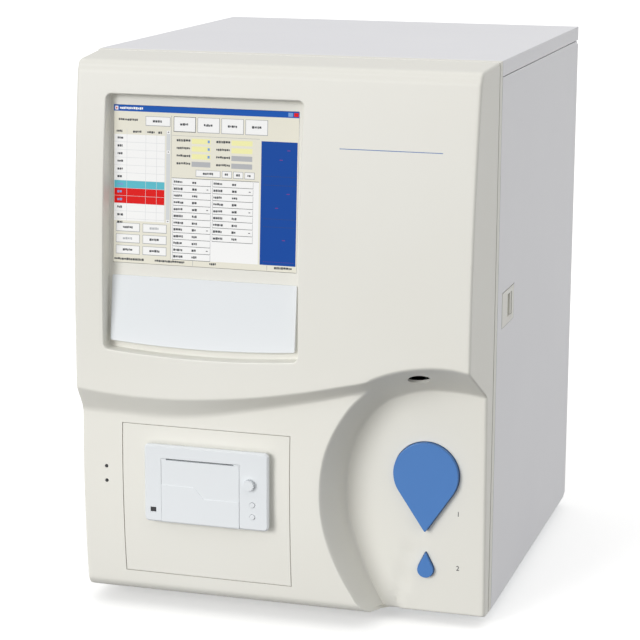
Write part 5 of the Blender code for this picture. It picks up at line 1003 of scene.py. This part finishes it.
def printer():
    """The printer: its body cut back behind the front flange, its paper door and its serrated knob."""
    body = node_copy("printer_body", COOL)
    low, high = PRINTER_LOW, PRINTER_HIGH

    def slab(grow, front, rear):
        return block((low[0] - grow, -front, low[1] - grow), (high[0] + grow, -rear, high[1] + grow))

    cut(body, cut(slab(2, FLANGE_BACK, 66), slab(-UNDERCUT, FLANGE_BACK + 1, 60)))
    settle(body, 0.5)
    door = node_copy("printer_door", COOL)
    pick(door, "EDGE", lambda x, y, z: z < low[1] + 0.05 and y < -BEZEL_FRONT + 0.05)
    bpy.ops.mesh.bevel(offset=DOOR_ROUND * MM, segments=4, affect="EDGES")
    settle(finished(door), 0.18)
    knob = node_copy("printer_knob", COOL)
    front = -BEZEL_FRONT - 0.2
    pick(knob, "VERT", lambda x, y, z: y < front and math.hypot(x - KNOB[0], z - KNOB[1]) < KNOB_GRIP)
    widen(KNOB_TAPER, (KNOB[0], front, KNOB[1]))
    settle(finished(knob), 0.14)


# Latch

# X where its outer part starts, its front and its top, and how far these two stand off the door
LATCH_SIDE = 183.0
LATCH_FRONT = 18.0
LATCH_TOP = 288.0
FRONT_STANDOFF = 2.2
TOP_STANDOFF = 0.7


def latch():
    """The latch housing, with a shadow gap to the door at its front and top."""
    housing = node_copy("latch_housing", SHELL)
    pick(housing, "VERT", lambda x, y, z: x > LATCH_SIDE and y < LATCH_FRONT + 0.1)
    move(y=FRONT_STANDOFF)
    pick(housing, "VERT", lambda x, y, z: x > LATCH_SIDE and z > LATCH_TOP - 0.1)
    move(z=-TOP_STANDOFF)
    settle(finished(housing), 0.5)


# Marks

# The numerals beside the push buttons: their height, their X, and each one's foot
NUMERAL_SIZE = 6.4
NUMERAL_X = 159.0
NUMERALS = {"1": 93.2, "2": 42.2}
# The stripe on the brow: where it starts and ends, its height and its width
STRIPE_ENDS = (61.0, 151.0)
STRIPE_Z = 424.0
STRIPE_WIDTH = 0.7


def numeral(text, z):
    """A plain numeral printed on the back of the well."""
    name = "mark_" + text
    font = bpy.data.curves.new(name, "FONT")
    font.body = text
    font.size = NUMERAL_SIZE * MM
    font.extrude = 0.03 * MM
    font.align_x = "CENTER"
    obj = placed(name, font)
    place = Vector(to_row([(NUMERAL_X, -depth_at(NUMERAL_X, z + 2.5) - 0.08, z)])[0])
    obj.matrix_world = Matrix.Translation(place) @ Matrix.Rotation(math.pi / 2, 4, "X")
    bpy.context.view_layer.update()
    graph = bpy.context.evaluated_depsgraph_get()
    mesh = bpy.data.meshes.new_from_object(obj.evaluated_get(graph))
    mesh.transform(obj.matrix_world)
    bpy.data.objects.remove(obj)
    return piece(name, mesh, INK)


def stripe():
    """A thin printed line on the brow, its edges a little rounded by the ink."""
    depth = float(face_depth(STRIPE_Z))
    low, high = STRIPE_Z - STRIPE_WIDTH / 2, STRIPE_Z + STRIPE_WIDTH / 2
    obj = block((STRIPE_ENDS[0], -depth - 0.035, low), (STRIPE_ENDS[1], -depth + 0.005, high))
    pick(obj, "EDGE", lambda x, y, z: y < -depth - 0.03)
    bpy.ops.mesh.bevel(offset=0.03 * MM, segments=2, affect="EDGES")
    return settle(dressed(finished(obj), "front_stripe", BLUE_INK))


# Screws

# A pan head and its cross recess, which stands a little turned
SCREW_RADIUS = 2.4
SCREW_HEIGHT = 1.4
RECESS_TURN = 0.3
# The back, and the screws of the fan guard, the fluid ports, the data sockets and the power inlet: their
# middle, half their spacing and their heights above it
CASE_REAR = 362.2
FIXINGS = (
    ((-95, CASE_REAR, 400), 35.75, (-35.75, 35.75)), ((110, 364.5, 100), 28, (-28, 28)),
    ((-40, 364.5, 45), 26.5, (0,)), ((-120, 364.7, 48), 20, (0,)),
)


def screw_head():
    """A pan head with a cross recess, upright at the frame's origin."""
    head = fresh(
        bpy.ops.mesh.primitive_cylinder_add, vertices=32, radius=SCREW_RADIUS * MM, depth=SCREW_HEIGHT * MM,
        location=(0, 0, SCREW_HEIGHT / 2 * MM),
    )
    top = SCREW_HEIGHT - FOOT
    pick(head, "EDGE", lambda x, y, z: z > top - 0.01)
    bpy.ops.mesh.bevel(offset=SCREW_HEIGHT * 0.6 * MM, segments=5, affect="EDGES")
    finished(head)
    size = (SCREW_RADIUS * 1.15 * MM, SCREW_RADIUS * 0.24 * MM, SCREW_HEIGHT * MM)
    for turn in (RECESS_TURN, RECESS_TURN + math.pi / 2):
        place = {"location": (0, 0, SCREW_HEIGHT * MM), "rotation": (0, 0, turn), "scale": size}
        cut(head, fresh(bpy.ops.mesh.primitive_cube_add, size=1, **place))
    return head


def rear_screws():
    """The screws on the back of the case, one modelled and the rest copied."""
    places = [(x, CASE_REAR, z) for x in (-176, -60, 60, 150) for z in (12, 486)]
    places += [(x, CASE_REAR, z) for x in (-176, 176) for z in (130, 250, 370)]
    for (x, y, z), across, rises in FIXINGS:
        places += [(x + side * across, y, z + rise) for side in (-1, 1) for rise in rises]
    head = screw_head()
    turn = Vector((0, 1, 0)).to_track_quat("Z", "Y").to_matrix().to_4x4()
    copies = []
    for place in places:
        copy = placed("screw", head.data.copy())
        copy.data.transform(Matrix.Translation(Vector(to_row([place])[0])) @ turn)
        copies.append(copy)
    bpy.data.objects.remove(head)
    select(*copies)
    bpy.ops.object.join()
    return settle(dressed(copies[0], "rear_screws", ZINC))


# Camera, floor and light

# The photograph's view: lens, turn, tilt and roll in degrees, and the camera's place
LENS = 121.91
TURN_TILT_ROLL = (16.596, 12.529, 0.25)
CAMERA_PLACE = (566.4, -1825.4, 680.6)
# Strength of the room's light all round, and how it grows to the right, the back and the top
ROOM_LEVEL = 0.46
ROOM_LEAN = (0.1, 0.19, 0.42)
# The floor's height in metres, just clear of the feet, and the light of its own that keeps it pale
FLOOR_Z = -0.0005
FLOOR_GLOW = 0.35
# The soft key light and the low card in front, which lifts the lower edge: their strength, where their
# light comes from and their place, and the key's spread and the card's size in metres
KEY = (1.75, (-0.45, -0.84, 0.3), (0, 0, 2))
KEY_SPREAD = math.radians(28)
CARD = (0.42, (-0.1, -0.4, 0.02), (-0.1, -0.62, 0.05))
CARD_SIZE = (0.7, 0.1)


def camera():
    data = bpy.data.cameras.new("camera")
    data.lens = LENS
    data.clip_start = 0.05
    obj = placed("camera", data)
    turn, tilt, roll = (math.radians(angle) for angle in TURN_TILT_ROLL)
    level = Matrix.Rotation(turn, 4, "Z") @ Matrix.Rotation(math.pi / 2 - tilt, 4, "X")
    place = Vector(CAMERA_PLACE) + Vector((0, SEAM_Y, FOOT))
    obj.matrix_world = Matrix.Translation(place * MM) @ level @ Matrix.Rotation(roll, 4, "Z")
    bpy.context.scene.camera = obj


def lamp(name, kind, energy, source, place):
    """A light at a place, whose rays come from the direction of its source."""
    obj = placed(name, bpy.data.lights.new(name, kind))
    obj.data.energy = energy
    obj.location = place
    obj.rotation_euler = Vector(source).to_track_quat("Z", "Y").to_euler()
    return obj


def pale_floor():
    material, _ = surface(
        "studio_floor", "#F8F8F7", 0.9, Emission_Color=linear("#FFFFFF"), Emission_Strength=FLOOR_GLOW
    )
    bpy.ops.mesh.primitive_grid_add(x_subdivisions=4, y_subdivisions=4, size=160, location=(0, 0, FLOOR_Z))
    floor = bpy.context.object
    floor.name = "studio_floor"
    floor.data.materials.append(material)
    floor.visible_diffuse = False


def room():
    """White light all round, a little stronger to the right, the back and the top."""
    world = bpy.data.worlds.new("studio")
    bpy.context.scene.world = world
    world.use_nodes = True
    direction = add(world, "ShaderNodeTexCoord").outputs["Generated"]
    lean = add(world, "ShaderNodeVectorMath", operation="DOT_PRODUCT", Vector=direction)
    lean.inputs[1].default_value = ROOM_LEAN
    level = add(world, "ShaderNodeMath", Value=lean.outputs["Value"])
    level.inputs[1].default_value = ROOM_LEVEL
    back = world.node_tree.nodes["Background"]
    world.node_tree.links.new(level.outputs[0], back.inputs["Strength"])
    back.inputs["Color"].default_value = (1, 1, 1, 1)


def studio():
    pale_floor()
    room()
    key = lamp("soft_key", "SUN", *KEY)
    key.data.angle = KEY_SPREAD
    card = lamp("low_card", "AREA", *CARD)
    card.data.shape = "RECTANGLE"
    card.data.size, card.data.size_y = CARD_SIZE
    card.visible_camera = False
    card.visible_glossy = False
    bpy.context.scene.view_settings.view_transform = "Standard"


# Assembly

# The solids that keep their shape, by material, slot and width of their softened edges
WORKS = (
    (PAINT, "paint", 0.35, "top_cover left_panel side_door rear_panel"),
    (SHELL, "shell", 0.4, "front_rim latch_slider"),
    (SHELL, "shell", 0.35, "printer_panel"),
    (COOL, "cool_plastic", 0.3, "label_plate"),
    (COOL, "cool_plastic", 0.35, "printer_key_upper printer_key_lower"),
    (COOL, "cool_plastic", 0.5, "pump_rotor"),
    (BLACK, "black_plastic", 0.3, "printer_lamp probe_guide probe_carriage probe_motor fan_frame fan_rotor"),
    (BLACK, "black_plastic", 0.3, "power_inlet power_rocker valve_bank pump_housing"),
    (BLACK, "black_plastic", 0.2, "status_light_board"),
    (ZINC, "zinc", 0.25, "display_module hinge_bracket_upper hinge_bracket_lower base_tray front_bulkhead"),
    (ZINC, "zinc", 0.25, "centre_wall fan_guard data_sockets power_supply bath_bracket syringe_pump"),
    (ZINC, "zinc", 0.25, "probe_frame"),
    (STEEL, "steel", 0.2, "sample_probe guide_rod_left guide_rod_right lead_screw syringe_plunger"),
    (RUBBER, "rubber", 0.5, "foot_front_left foot_front_right foot_rear_left foot_rear_right platen_roller"),
    (CLEAR, "clear", 0.3, "rinse_block fluid_ports count_bath_front count_bath_rear syringe_barrel"),
    (BOARD, "board", 0.2, "button_board main_board"),
    (PAPER, "paper", 0.3, "paper_roll"),
)


def main():
    camera()
    front_shell()
    screen()
    for name, (shape, face) in BUTTONS.items():
        push_button(name, face, *shape)
    printer()
    latch()
    for material, slot, bevel, nodes in WORKS:
        for node in nodes.split():
            refined(node, material, bevel)
    rear_screws()
    stripe()
    for text, z in NUMERALS.items():
        numeral(text, z)
    studio()


main()
